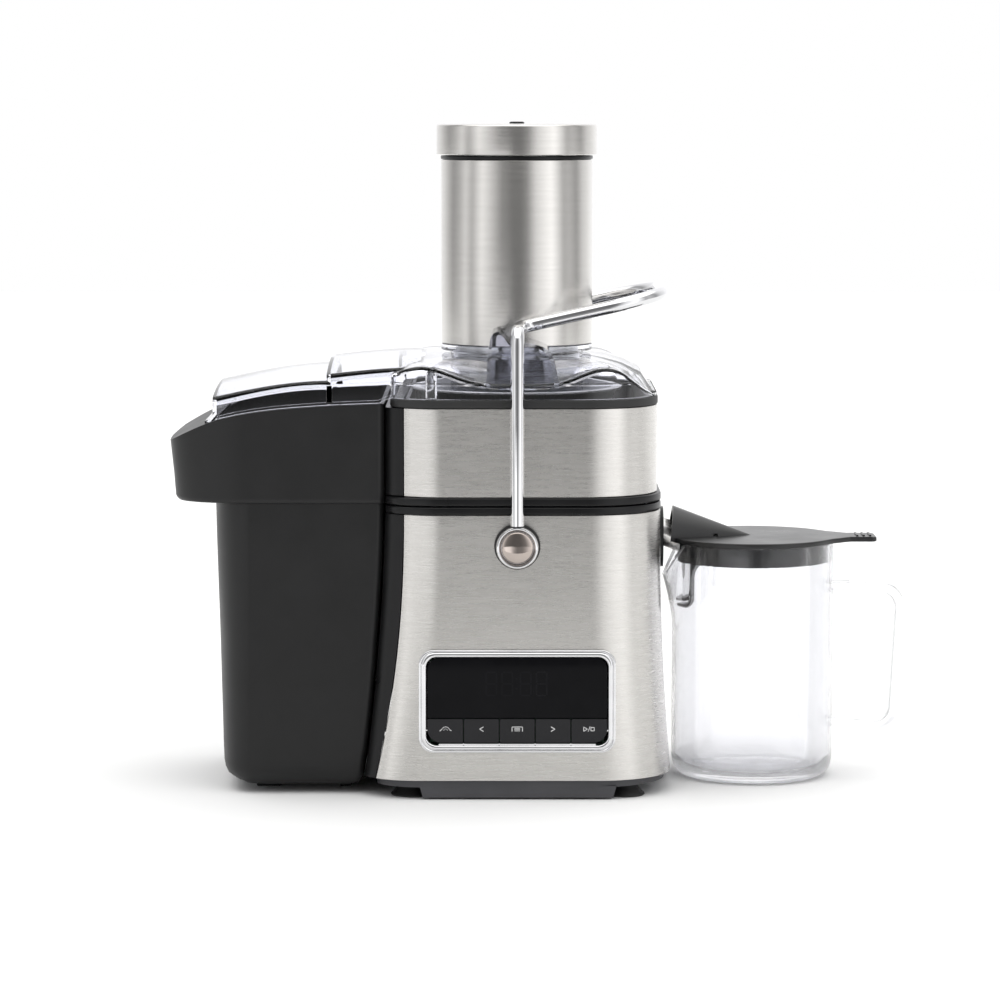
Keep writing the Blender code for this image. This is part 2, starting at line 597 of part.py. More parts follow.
def build_spin_group():
    disc("motor_shaft", 4 * MM, 30 * MM, 189 * MM, IRON, edge=0.4 * MM, steps=12)
    ring("motor_rotor", 4.3 * MM, 23.7 * MM, 64 * MM, 109 * MM, IRON, edge=1 * MM)
    fan = ring("cooling_fan", 4.3 * MM, 9 * MM, 34 * MM, 43 * MM, GREY, steps=20)
    for blade in range(7):
        turn = 2 * pi * blade / 7
        vane = block(f"vane_{blade}", (7 * MM, -1 * MM, 34.5 * MM), (34 * MM, 1 * MM, 42.5 * MM),
                     GREY)
        vane.rotation_euler = (0.0, 0.0, turn)
        join(fan, vane)
    join(fan, ring("fan_plate", 5 * MM, 35 * MM, 33.6 * MM, 35.2 * MM, GREY))
    coupling = [(0, 201), (9, 201), (12, 198), (12, 178), (13.5, 176), (13.5, 173), (4.3, 173),
                (4.3, 189.4), (0, 189.4)]
    turned_mm("drive_coupling", coupling, GREY, closed=False, steps=24)
    basket = [(12.4, 190), (15, 190), (15, 202.6), (45.5, 202.6), (48, 205), (61.5, 240.5),
              (65, 240.8), (65, 242.4), (60.2, 242.4), (46.4, 206), (44.6, 204.4), (4, 204.4),
              (4, 202.4), (12.4, 202.4)]
    turned_mm("filter_basket", basket, BRUSHED, steps=24)
    grating = [(0, 202.0), (3.6, 202.0), (3.6, 204.9), (43.5, 204.9), (43.5, 206.4), (8, 206.4),
               (5, 209), (0, 209.6)]
    grater = turned_mm("grating_disc", grating, BRUSHED, closed=False)
    for row in range(3):
        for place in range(6):
            turn = 2 * pi * place / 6 + row * 0.35
            reach = (14 + row * 11) * MM
            tooth = tooth_shape(f"tooth_{row}_{place}", reach, 206.0 * MM)
            tooth.rotation_euler = (0.0, 0.0, turn)
            join(grater, tooth)


def tooth_shape(name, reach, base):
    """A small wedge that stands on the grating disc at a distance from the axis."""
    outline = [(-2.2, 0), (2.2, 0), (2.2, 2.2)]
    front = [(reach - 1.6 * MM, x * MM, base + z * MM) for x, z in outline]
    back = [(reach + 1.6 * MM, x * MM, base + z * MM) for x, z in outline]
    return loft(name, [front, back], BRUSHED)


# ---------------------------------------------------------------- lid, chute and pusher

def lid_wall_top(x, y):
    """Height of the lid's upright wall: two swells beside a low middle, falling off to the right."""
    x, y = x / MM, y / MM
    height = 249.5 + 10.5 * exp(-((x + 57) / 24) ** 2) + 9.5 * exp(-((x - 52) / 20) ** 2)
    fall = min(max((x - 60) / 26, 0.0), 1.0)
    height -= 8.0 * fall * fall * (3 - 2 * fall)
    if abs(y) > 48 and x > 0:
        height = min(height, PIVOT_Z / MM + sqrt((BAIL_SWEEP / MM) ** 2 - x * x))
    return height * MM


def lid_dome(name, inset, bottom):
    """The closed lump of the lid over the bowl, or its hollow when inset."""
    plan = rounded_plan(-75.4 * MM + inset, 84.3 * MM - inset, 93.6 * MM - inset,
                        LEFT_CORNER - inset, RIGHT_CORNER + 3 * MM - inset)
    neck = 42 * MM
    ledge = 1.6 * MM
    sections = [[(x, y, bottom) for x, y in plan], [(x, y, lid_wall_top(x, y) - inset) for x, y in plan]]
    for share, lift in ((0.04, 0), (0.2, 0.55), (0.45, 0.78), (0.72, 0.93), (1, 1)):
        section = []
        for x, y in plan:
            scale = 1 + share * (neck / hypot(x, y) - 1)
            wall = lid_wall_top(x, y) - inset + ledge
            top = max(NECK_TOP, lid_wall_top(x, y)) - inset
            section.append((x * scale, y * scale, min(wall + (top - wall) * lift, top)))
        sections.append(section)
    return loft(name, sections, CLEAR)


def channel_part(name, places, z_low, z_high, half_width, inset, bottom_of, crown=5 * MM):
    """A length of the hood over the bin, with a crowned roof. bottom_of gives its lower edge."""
    x_low, x_high = places[0], places[-1]
    sections = []
    for x in places:
        roof = z_low + (z_high - z_low) * sin(pi / 2 * (x - x_low) / (x_high - x_low)) - inset
        half = half_width - inset
        low = bottom_of(x)
        section = [(x, -half, low), (x, -half, roof - 2.5 * MM)]
        for k in range(5):
            across = -1 + k / 2
            section.append((x, (half - 2.2 * MM) * across, roof + crown * (1 - across * across)))
        section += [(x, half, roof - 2.5 * MM), (x, half, low)]
        sections.append(section)
    return loft(name, sections, CLEAR)


def hood_floor(x):
    """Lower edge of the lid: on the bin's rim at the left and on the bowl at the right."""
    over_bin = rim_height(x) + GAP
    share = min(max((x / MM + 81) / 4, 0.0), 1.0)
    return over_bin + (LID_BOTTOM - over_bin) * share


def build_lid():
    lid = lid_dome("lid", 0, LID_BOTTOM)
    wall = 2.3 * MM
    low_part = [-183, -172, -160, -147, -135, -115.3]
    high_part = [-118.3, -111, -95, -81, -77, -58]
    low_places, high_places = [x * MM for x in low_part], [x * MM for x in high_part]
    low_roof, high_roof = (240.5 * MM, 250.5 * MM), (255.0 * MM, 258.5 * MM)
    high_crown = 6 * MM
    half = 76 * MM
    join(lid, channel_part("hood_low", low_places, *low_roof, half, 0, hood_floor),
         channel_part("hood_high", high_places, *high_roof, half, 0, hood_floor, high_crown))
    flange = []
    lip, thick = 78.5 * MM, 1.7 * MM
    for x in (-186.5, -180, -172, -160, -147, -135, -111, -81, -77, -66):
        x *= MM
        low = hood_floor(x)
        flange.append([(x, -lip, low), (x, lip, low), (x, lip, low + thick), (x, -lip, low + thick)])
    join(lid, loft("hood_flange", flange, CLEAR))
    tube = disc("chute_tube", CHUTE_OUTER, 224 * MM, CHUTE_TOP, CLEAR, steps=32)
    foot = disc("chute_foot", SLEEVE_OUTER, 264.7 * MM, 268.4 * MM, CLEAR, steps=32)

    hollow = lid_dome("lid_hollow", wall, LID_BOTTOM - 2 * MM)
    below = 4 * MM
    low_places = [low_places[0] + wall] + low_places[1:-1] + [high_places[0]]
    high_places = [high_places[0] + wall] + high_places[1:]

    def open_below(x):
        return hood_floor(x) - below

    hollow_low = channel_part("hood_low_hollow", low_places, *low_roof, half, wall, open_below)
    hollow_high = channel_part("hood_high_hollow", high_places, *high_roof, half, wall, open_below,
                               high_crown)
    link = block("hood_link", (-124 * MM, -60 * MM, 225 * MM), (-110 * MM, 60 * MM, 247.5 * MM),
                 CLEAR)
    cut(lid, hollow, hollow_low, hollow_high, link)
    for tag, side in (("front", 1), ("rear", -1)):
        join(lid, saddle(f"saddle_{tag}", side, 0))
    cut(lid, disc("sleeve_room", SLEEVE_OUTER + GAP, 268.2 * MM, 290 * MM, CLEAR, steps=32))
    join(lid, tube, foot)
    for tag, side in (("front", 1), ("rear", -1)):
        cut(lid, saddle(f"saddle_hollow_{tag}", side, 2.2 * MM))
    cut(lid, disc("chute_bore", CHUTE_INNER, 200 * MM, 400 * MM, CLEAR, steps=32))


def saddle(name, side, inset):
    """The seat that the bail snaps over: a high stop at the left and a low rounded shoulder."""
    outline = [(-18.5, 247), (-17.8, 262), (-16.2, 276), (-14.6, 279.4), (-12.0, 280.6),
               (-9.4, 279.4), (-6.8, 275.4), (-4.5, 273.9), (4, 273.9), (10, 273.2), (15.5, 271.2),
               (19.6, 268.2), (22.4, 261), (24.8, 250.5), (25, 247)]
    middle = Vector((2.5, 255))
    points = []
    for x, z in outline:
        spoke = Vector((x, z)) - middle
        points.append(middle + spoke * (1 - inset / MM / spoke.length))
    back = -41.5 * MM if inset == 0 else -48.5 * MM
    front = -92.6 * MM + inset
    drop = 8 * MM if inset else 0
    low = [(p.x * MM, side * front, p.y * MM - (drop if p.y < 252 else 0)) for p in points]
    high = [(p.x * MM, side * back, p.y * MM - (drop if p.y < 252 else 0)) for p in points]
    return loft(name, [low, high], CLEAR)


def build_chute():
    ring("chute_sleeve", SLEEVE_OUTER - STEEL, SLEEVE_OUTER, 268.7 * MM, CHUTE_TOP, BRUSHED, steps=32)
    collar = [(41.2, 374), (45.0, 374), (45.0, 381), (46.6, 381.2), (46.6, 383.2), (38.6, 383.4),
              (38.6, 381), (41.2, 381)]
    turned_mm("chute_collar", collar, BLACK, steps=32)


def build_pusher():
    radius = PUSHER_RADIUS / MM
    tube = [(0, 231), (26, 231), (30, 228), (radius - 1, 228), (radius, 229), (radius, 384.0),
            (47.8, 384.2), (47.8, 386.4), (radius - 2.5, 386.4), (radius - 2.5, 233), (0, 233)]
    turned_mm("pusher", tube, BRUSHED, closed=False, steps=28)
    outer = CAP_RADIUS / MM
    inner = outer - STEEL / MM
    cap = [(0, 400.8), (inner, 400.8), (inner, 383.9), (outer, 383.9), (outer, 401.3),
           (outer - 0.9, 402.3), (0, 402.3)]
    turned_mm("pusher_cap", cap, BRUSHED, closed=False, steps=32)
    knob = [(0, 402.6), (4.6, 402.6), (4.6, 403.4), (4.0, 403.9), (0, 403.9)]
    turned_mm("pusher_knob", knob, GREY, closed=False, steps=12)


# ---------------------------------------------------------------- bail

def build_bail():
    corners = [(0, -ROD_Y, 165.9 * MM), (0, -ROD_Y, 281.2 * MM),
               (2.0 * MM, -BAIL_HALF_WIDTH, 281.4 * MM), (88 * MM, -BAIL_HALF_WIDTH, 300.6 * MM)]
    nose = (88 * MM, BAIL_HALF_WIDTH, 300.6 * MM)
    mirrored = [(x, -y, z) for x, y, z in reversed(corners[:-1])]
    bend, nose_bend = 9 * MM, 34 * MM
    path = fillet_path(corners + [nose] + mirrored, [bend, bend, nose_bend, nose_bend, bend, bend],
                       steps=4)
    sweep("bail_rod", path, ROD_RADIUS, CHROME, sides=12, origin=(0, 0, PIVOT_Z))
    for tag, side in (("front", 1), ("rear", -1)):
        hub = [(0, 83), (3.75, 83), (3.75, 97.5), (11.2, 97.5), (12.5, 98.6), (12.5, 103.6),
               (11.9, 104.4), (10.9, 104.4), (10.4, 103.4), (9.9, 103.0), (7.5, 104.0), (4, 104.8),
               (0, 105.1)]
        turned_mm(f"bail_hub_{tag}", [(radius, side * y) for radius, y in hub], CHROME, axis="Y",
                  at=PIVOT_Z, closed=False, origin=(0, 0, PIVOT_Z))


# ---------------------------------------------------------------- pulp bin

def bin_plan(left, right, half_depth, slant, end_half):
    """Plan of the bin: square at the right, slanting in from the crease to a rounded left end."""
    points = [(right, half_depth), (slant, half_depth)]
    points += arc_between((slant, half_depth), (left, end_half), 4)
    points += [(left - 1.5 * MM, end_half * 0.5), (left - 2.5 * MM, 0), (left - 1.5 * MM, -end_half * 0.5)]
    points += arc_between((left, -end_half), (slant, -half_depth), 4, flip=True)
    points += [(slant, -half_depth), (right, -half_depth)]
    return points


def arc_between(start, end, steps, flip=False):
    """A quarter ellipse between two plan points, bulging outwards."""
    points = []
    for i in range(1, steps + 1) if not flip else range(0, steps):
        turn = pi / 2 * i / steps
        if not flip:
            x = start[0] + (end[0] - start[0]) * sin(turn)
            y = end[1] + (start[1] - end[1]) * cos(turn)
        else:
            x = end[0] + (start[0] - end[0]) * cos(turn)
            y = start[1] + (end[1] - start[1]) * sin(turn)
        points.append((x, y))
    return points


def build_bin():
    slant = -160 * MM
    end_half = 48 * MM
    body_levels = [(6.5, -171, -95, 69), (10.5, -176, -93, 73), (18, -178.3, -92, 76),
                   (45, -179, -88.6, 77.5), (90, -180, -84.6, 78), (135, -181.3, -81.4, 78.3),
                   (178, -182.3, -79.9, 78.5)]
    outer, hollow = [], []
    for z, left, right, depth in body_levels:
        left, right, depth = left * MM, right * MM, depth * MM
        end = 40 * MM if z < 8 else end_half
        outer.append([(x, y, z * MM) for x, y in bin_plan(left, right, depth, slant, end)])
        room = bin_plan(left + BIN_WALL, right - BIN_WALL, depth - BIN_WALL, slant + BIN_WALL / 2,
                        end_half - 1 * MM)
        hollow.append([(x, y, (z + 0.2) * MM) for x, y in room])
    sole = bin_plan(-160 * MM, -99 * MM, 64 * MM, -150 * MM, 40 * MM)
    mouth = bin_plan(-179.5 * MM, BIN_RIGHT_TOP - BIN_WALL, 77.4 * MM, slant + BIN_WALL / 2, end_half)
    outer.insert(0, [(x, y, 4.5 * MM) for x, y in sole])
    hollow.append([(x, y, 250 * MM) for x, y in mouth])
    pulp_bin = loft("pulp_bin", outer, DARK)

    collar = []
    for z, left, depth in ((COLLAR_BOTTOM, -203.5, 79.0), (COLLAR_BOTTOM + 2.5 * MM, -206, 80.2),
                           (214 * MM, -209.4, 80.8), (242 * MM, -211.6, 81.3)):
        plan = bin_plan(left * MM, BIN_RIGHT_TOP, depth * MM, -163 * MM, 52 * MM)
        collar.append([(x, y, z) for x, y in plan])
    join(pulp_bin, loft("bin_collar", collar, DARK))
    for x_low, x_high, y in ((-159, -144, 34), (-108, -101, 34), (-159, -144, -46), (-108, -101, -46)):
        foot = block(f"bin_foot_{x_low}_{y}", (x_low * MM, y * MM, 0),
                     (x_high * MM, (y + 12) * MM, 6 * MM), DARK)
        join(pulp_bin, foot)

    rim_line = [(x * MM, z * MM) for x, z in RIM]
    above = rim_line + [(-56 * MM, 260 * MM), (-220 * MM, 260 * MM)]
    grip = []
    for z, left, depth in ((170, -200.5, 44), (185, -202.5, 46), (204, -203.5, 46)):
        plan = bin_plan(left * MM, -186.5 * MM, depth * MM, -187.5 * MM, 30 * MM)
        grip.append([(x, y, z * MM) for x, y in plan])
    cut(pulp_bin, extrude_xz("rim_cut", above, -THROUGH, THROUGH, DARK),
        loft("bin_hollow", hollow, DARK), loft("grip_hollow", grip, DARK))


# ---------------------------------------------------------------- jug

def jug_notch(y):
    """How far the pouring beak dips below the rim at a distance y from the middle."""
    share = min(max((abs(y) / MM - 7) / 17, 0.0), 1.0)
    return 1 - share * share * (3 - 2 * share)


def jug_point(turn, radius, height):
    """A point of the jug's wall: the beak at the left swells outwards and its rim dips."""
    y = radius * sin(turn)
    beak = jug_notch(y) if cos(turn) < 0 else 0.0
    beak_bottom, swell_bottom = 90 * MM, 95 * MM
    dip = max((height - beak_bottom) / (JUG_RIM - beak_bottom), 0.0) * beak * 20 * MM
    swell = max((height - swell_bottom) / (JUG_RIM - swell_bottom), 0.0) ** 1.5 * beak * 6.2 * MM
    return (JUG_X + (radius + swell) * cos(turn), y, height - dip)


def build_jug():
    outer = [(38, 0.0), (43, 0.8), (47.4, 3.6), (49.4, 7.6), (49.9, 12), (49.9, 90), (49.9, 110),
             (49.9, 128), (49.9, JUG_RIM / MM)]
    inner = [(47.4, JUG_RIM / MM), (47.4, 128), (47.4, 110), (47.4, 90), (47.4, 13), (46.2, 9),
             (43.0, 6.4), (38, 5.6)]
    count = 40
    bm = bmesh.new()
    rings = []
    for radius, height in outer + inner:
        rings.append(ring_of(bm, [jug_point(2 * pi * k / count, radius * MM, height * MM)
                                  for k in range(count)]))
    for lower, upper in zip(rings, rings[1:]):
        skin_rings(bm, lower, upper)
    bm.faces.new(list(reversed(rings[0])))
    bm.faces.new(rings[-1])
    jug = finish("juice_jug", bm, CLEAR, origin=(JUG_X, 0, 0))
    path = fillet_path([(191 * MM, 0, 117.5 * MM), (238 * MM, 0, 117.5 * MM),
                        (233 * MM, 0, 30 * MM), (191 * MM, 0, 34 * MM)], [13 * MM, 12 * MM], steps=5)
    join(jug, handle_band("jug_handle", path, 7.5 * MM, 3.3 * MM))
    join(jug, block("handle_web", (194 * MM, -2.2 * MM, 113 * MM),
                    (206 * MM, 2.2 * MM, 142 * MM), CLEAR))
    inside = [(0, 4.9), (38, 5.0), (43.0, 6.2), (46.3, 9), (47.5, 13), (47.5, 160), (0, 160)]
    cut(jug, turned_mm("jug_inside", inside, CLEAR, centre=(JUG_X, 0), closed=False, steps=count))


def handle_band(name, path, half_width, half_thickness):
    """A flat rounded band swept along a path in the XZ plane."""
    sections = []
    for i, point in enumerate(path):
        along = (path[min(i + 1, len(path) - 1)] - path[max(i - 1, 0)]).normalized()
        normal = Vector((-along.z, 0, along.x))
        section = []
        for k in range(12):
            turn = 2 * pi * k / 12
            across = copysign(half_width * abs(cos(turn)) ** 0.6, cos(turn))
            out = copysign(half_thickness * abs(sin(turn)) ** 0.6, sin(turn))
            section.append(point + Vector((0, across, 0)) + normal * out)
        sections.append(section)
    return loft(name, sections, CLEAR)


def build_jug_lid():
    low, high = JUG_LID_BOTTOM, JUG_LID_TOP
    radius = 52 * MM
    tab_half, tab_end = 12 * MM, 222 * MM
    outline = arc(JUG_X, 0, radius, 34, 326, 36)
    outline += [(199 * MM, -18 * MM), (206 * MM, -tab_half), (tab_end - 3 * MM, -tab_half),
                (tab_end, 3 * MM - tab_half), (tab_end, tab_half - 3 * MM),
                (tab_end - 3 * MM, tab_half), (206 * MM, tab_half), (199 * MM, 18 * MM)]
    shrink = 0.985
    inner_outline = [(JUG_X + (x - JUG_X) * shrink, y * shrink) for x, y in outline]
    levels = ((outline, low), (outline, high - 0.7 * MM), (inner_outline, high))
    lid = loft("jug_lid", [[(x, y, z) for x, y in points] for points, z in levels], DARK,
               origin=(JUG_X, 0, low))
    skirt = ring("lid_skirt", 44.2 * MM, 46.6 * MM, 134 * MM, low + 1 * MM, DARK,
                 centre=(JUG_X, 0), steps=36)
    join(lid, skirt, hood_lump("lid_hood", 0))
    for row in range(3):
        x = (209.5 + row * 4) * MM
        join(lid, block(f"ridge_{row}", (x, -8 * MM, high - 0.5 * MM),
                        (x + 1.4 * MM, 8 * MM, high + 0.9 * MM), DARK))
    legs = []
    for tag, side in (("front", -1), ("rear", 1)):
        y_low, y_high = sorted((side * 10.2 * MM, side * 23 * MM))
        outline = [(107.4, 147), (107.4, 112), (106.2, 109.6), (103.6, 108.4), (97.2, 108.4),
                   (97.2, 106.6), (104.2, 106.6), (107.8, 108.2), (109.4, 111.4), (109.6, 126),
                   (111.5, 131.5), (116, 135.5), (116, 147)]
        outline = [(x * MM, z * MM) for x, z in outline]
        legs.append(extrude_xz(f"separator_leg_{tag}", outline, y_low, y_high, DARK))
    join(lid, *legs)
    slot = block("pipe_slot", (88 * MM, -9.9 * MM, 120 * MM), (124 * MM, 9.9 * MM, 151 * MM), DARK)
    trim = ring("leg_trim", 46.8 * MM, 62 * MM, 100 * MM, 133.5 * MM, DARK, centre=(JUG_X, 0),
                steps=40)
    cut(lid, hood_lump("hood_hollow", 2.0 * MM), slot, trim)


def hood_lump(name, inset):
    """The half cone on the jug's lid that takes the spout, open to the left."""
    start, end = (HOOD_START, 147 * MM) if inset == 0 else (90 * MM, 138 * MM)
    lean = 2.2 * MM if inset == 0 else 0.0
    bottom = JUG_LID_TOP - (2.0 * MM if inset == 0 else 2.2 * MM)
    steps = 5
    sections = []
    for i in range(steps + 1):
        share = i / steps
        x = start + (end - start) * share
        taper = (HOOD_END - x) / (HOOD_END - HOOD_START)
        radius = min(max(HOOD_RADIUS * taper - inset, 0.6 * MM), HOOD_RADIUS - inset)
        section = []
        for k in range(13):
            turn = pi * k / 12
            section.append((x + lean * sin(turn) * (1 - share), radius * cos(turn),
                            JUG_LID_TOP - 1.5 * MM + radius * sin(turn)))
        section += [(x, -radius, bottom), (x, radius, bottom)]
        sections.append(section)
    return loft(name, sections, DARK)


build_plinth()
build_feet()
build_housing()
build_deck()
build_control_panel()
build_pivots()
build_motor()
build_fittings()
build_bowl()
build_spout()
build_spin_group()
build_lid()
build_chute()
build_pusher()
build_bail()
build_bin()
build_jug()
build_jug_lid()
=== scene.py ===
"""Looks of the centrifugal juicer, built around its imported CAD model."""

import json
from math import cos, exp, hypot, pi, radians, sin, sqrt

import bmesh
import bpy
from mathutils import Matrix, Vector


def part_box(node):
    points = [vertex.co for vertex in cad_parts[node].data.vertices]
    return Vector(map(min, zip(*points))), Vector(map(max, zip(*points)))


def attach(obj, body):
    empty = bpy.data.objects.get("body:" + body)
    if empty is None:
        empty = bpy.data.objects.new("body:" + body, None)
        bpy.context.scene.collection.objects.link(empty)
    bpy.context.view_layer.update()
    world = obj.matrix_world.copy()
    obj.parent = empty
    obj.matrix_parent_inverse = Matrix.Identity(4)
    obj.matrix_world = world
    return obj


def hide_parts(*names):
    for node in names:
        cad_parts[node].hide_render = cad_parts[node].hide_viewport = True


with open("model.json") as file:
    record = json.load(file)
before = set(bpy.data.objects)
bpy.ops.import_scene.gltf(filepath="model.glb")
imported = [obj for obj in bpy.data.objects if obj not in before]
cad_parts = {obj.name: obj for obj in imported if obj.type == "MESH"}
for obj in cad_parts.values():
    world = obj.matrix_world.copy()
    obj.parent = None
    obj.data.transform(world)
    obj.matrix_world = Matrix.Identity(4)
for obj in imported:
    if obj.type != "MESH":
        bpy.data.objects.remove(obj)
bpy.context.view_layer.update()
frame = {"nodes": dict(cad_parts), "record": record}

MM = 0.001
SLEEVE_LOW, SLEEVE_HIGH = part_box("chute_sleeve")
AXIS_X = (SLEEVE_LOW.x + SLEEVE_HIGH.x) / 2


# ---- materials

def new_material(name):
    made = bpy.data.materials.new(name)
    made.use_nodes = True
    tree = made.node_tree
    return made, tree, tree.nodes["Principled BSDF"]


def node(tree, kind, inputs=None, **settings):
    made = tree.nodes.new("ShaderNode" + kind)
    for key, value in settings.items():
        setattr(made, key, value)
    for key, value in (inputs or {}).items():
        made.inputs[key].default_value = value
    return made


def object_noise(tree, scale, detail=3.0, roughness=0.55):
    """Noise in the piece's own metres, stretched by a scale for each axis."""
    where = node(tree, "TexCoord")
    stretch = node(tree, "Mapping", {"Scale": scale})
    noise = node(tree, "TexNoise", {"Scale": 1.0, "Detail": detail, "Roughness": roughness})
    tree.links.new(where.outputs["Object"], stretch.inputs["Vector"])
    tree.links.new(stretch.outputs["Vector"], noise.inputs["Vector"])
    return noise.outputs["Fac"]


def spread(tree, source, low, high, target, start=0.3, end=0.7):
    """Map a noise onto a range of values of one socket."""
    ranges = {"From Min": start, "From Max": end, "To Min": low, "To Max": high}
    ranged = node(tree, "MapRange", ranges)
    tree.links.new(source, ranged.inputs["Value"])
    tree.links.new(ranged.outputs["Result"], target)


def tint(tree, source, dark, light, target, start=0.3, end=0.7):
    ramp = node(tree, "ValToRGB")
    ramp.color_ramp.elements[0].position = start
    ramp.color_ramp.elements[1].position = end
    ramp.color_ramp.elements[0].color = (*dark, 1)
    ramp.color_ramp.elements[1].color = (*light, 1)
    tree.links.new(source, ramp.inputs["Fac"])
    tree.links.new(ramp.outputs["Color"], target)


def bump(tree, shader, source, strength, distance):
    made = node(tree, "Bump", {"Strength": strength, "Distance": distance})
    tree.links.new(source, made.inputs["Height"])
    tree.links.new(made.outputs["Normal"], shader.inputs["Normal"])


def brushed_steel(name, dark, light, rough, grain=(45, 45, 1900), turned=True):
    made, tree, shader = new_material(name)
    shader.inputs["Metallic"].default_value = 1.0
    streaks = object_noise(tree, grain, 4.0, 0.65)
    patches = object_noise(tree, (grain[0] * 0.7, grain[1] * 0.7, grain[2] * 0.3), 4.0)
    tint(tree, patches, dark, light, shader.inputs["Base Color"], 0.25, 0.75)
    spread(tree, streaks, rough[0], rough[1], shader.inputs["Roughness"], 0.25, 0.75)
    bump(tree, shader, streaks, 0.12, 0.00003)
    shader.inputs["Anisotropic"].default_value = 0.75
    if turned:
        shader.inputs["Anisotropic Rotation"].default_value = 0.25
        tangent = node(tree, "Tangent", direction_type="RADIAL", axis="Z")
        tree.links.new(tangent.outputs["Tangent"], shader.inputs["Tangent"])
    return made


def moulded(name, dark, light, rough, texture=2600, relief=0.00004, strength=0.25, specular=0.5):
    """Moulded plastic or rubber with a fine surface texture."""
    made, tree, shader = new_material(name)
    fine = object_noise(tree, (texture,) * 3, 3.0)
    broad = object_noise(tree, (35, 35, 35), 3.0)
    tint(tree, broad, dark, light, shader.inputs["Base Color"])
    spread(tree, broad, rough[0], rough[1], shader.inputs["Roughness"])
    shader.inputs["Specular IOR Level"].default_value = specular
    bump(tree, shader, fine, strength, relief)
    return made


def polished(name, dark, light, rough, metallic=1.0, relief=0.00001, specular=0.5):
    made, tree, shader = new_material(name)
    broad = object_noise(tree, (60, 60, 60), 3.0)
    tint(tree, broad, dark, light, shader.inputs["Base Color"])
    spread(tree, broad, rough[0], rough[1], shader.inputs["Roughness"])
    shader.inputs["Metallic"].default_value = metallic
    shader.inputs["Specular IOR Level"].default_value = specular
    bump(tree, shader, broad, 0.05, relief)
    return made


def clear_plastic(name, tint_colour, ior=1.49, alpha=1.0):
    made, tree, shader = new_material(name)
    shader.inputs["Base Color"].default_value = (*tint_colour, 1)
    shader.inputs["Transmission Weight"].default_value = 1.0
    shader.inputs["IOR"].default_value = ior
    shader.inputs["Alpha"].default_value = alpha
    broad = object_noise(tree, (30, 30, 30), 2.0)
    spread(tree, broad, 0.012, 0.03, shader.inputs["Roughness"])
    bump(tree, shader, broad, 0.05, 0.0002)
    return made


STEEL = brushed_steel("steel_brushed", (0.60, 0.585, 0.56),
                      (0.655, 0.64, 0.615), (0.22, 0.36), (80, 80, 2000))
STEEL_TURNED = brushed_steel("steel_turned", (0.62, 0.605, 0.58),
                             (0.66, 0.645, 0.62), (0.16, 0.26), (50, 50, 2300))
STEEL_PIPE = brushed_steel("steel_pipe", (0.6, 0.6, 0.59),
                           (0.7, 0.69, 0.68), (0.16, 0.26), (900, 900, 900), False)
PUSHER = brushed_steel("steel_pusher", (0.62, 0.63, 0.61), (0.72, 0.73, 0.71), (0.2, 0.3), (30, 30, 1500))
BASKET = brushed_steel("steel_basket", (0.45, 0.45, 0.45),
                       (0.6, 0.6, 0.6), (0.25, 0.4), (1500, 1500, 1500), False)
CHROME = polished("chrome_plate", (0.68, 0.68, 0.69), (0.74, 0.74, 0.75), (0.03, 0.06))
SMOKED_CHROME = polished("chrome_smoked", (0.40, 0.35, 0.32), (0.48, 0.42, 0.38), (0.03, 0.06))
DARK = moulded("plastic_dark", (0.008, 0.008, 0.0082), (0.011, 0.011, 0.0113), (0.38, 0.46), specular=0.32)
LID_DARK = moulded("plastic_lid_dark", (0.009, 0.009, 0.0095),
                   (0.013, 0.013, 0.0135), (0.26, 0.34), specular=0.45)
BLACK = moulded("plastic_black", (0.004, 0.004, 0.0045),
                (0.007, 0.007, 0.0075), (0.26, 0.36), 1800, specular=0.26)
PLINTH = moulded("plastic_plinth", (0.045, 0.045, 0.05), (0.06, 0.06, 0.066), (0.42, 0.52))
GREY = moulded("plastic_grey", (0.19, 0.19, 0.2), (0.24, 0.24, 0.25), (0.4, 0.5))
RUBBER = moulded("rubber_black", (0.009, 0.009, 0.009), (0.015, 0.015, 0.015), (0.45, 0.6), 1500, 0.00006)
CLEAR = clear_plastic("plastic_clear", (0.935, 0.94, 0.985), 1.42)
JUG_CLEAR = clear_plastic("plastic_clear_jug", (0.94, 0.943, 0.968), 1.4, 0.78)
GLOSS = polished("panel_gloss_black", (0.003, 0.003, 0.0038),
                 (0.0045, 0.0045, 0.0055), (0.03, 0.07), 0.0, specular=0.08)
KEYS = polished("button_gloss_black", (0.008, 0.008, 0.0095),
                (0.0105, 0.0105, 0.0125), (0.08, 0.14), 0.0, specular=0.25)
GHOST = moulded("display_segments", (0.006, 0.006, 0.0072),
                (0.008, 0.008, 0.0095), (0.2, 0.3), specular=0.1)
ICON = moulded("icon_white", (0.72, 0.72, 0.72), (0.8, 0.8, 0.8), (0.35, 0.45))
IRON = brushed_steel("motor_steel", (0.3, 0.3, 0.3), (0.38, 0.38, 0.38), (0.35, 0.5), (400, 400, 2400))
BRONZE = polished("bearing_bronze", (0.5, 0.35, 0.17), (0.6, 0.43, 0.22), (0.25, 0.4))
BOARD = moulded("board_green", (0.01, 0.07, 0.03), (0.02, 0.11, 0.05), (0.3, 0.45))

SLOT_LOOKS = {"brushed_steel": STEEL, "chrome": CHROME, "dark_plastic": DARK, "black_plastic": BLACK,
              "grey_plastic": GREY, "rubber": RUBBER, "clear_plastic": CLEAR, "panel_gloss": GLOSS,
              "circuit_board": BOARD, "motor_iron": IRON, "bronze": BRONZE}
for part in frame["record"]["subparts"]:
    thing = frame["nodes"][part["node"]]
    thing.data.materials.clear()
    thing.data.materials.append(SLOT_LOOKS[part["material_slot"]])


# ---- mesh helpers
# Shapes are drawn in millimetres from the spin axis, at table height.

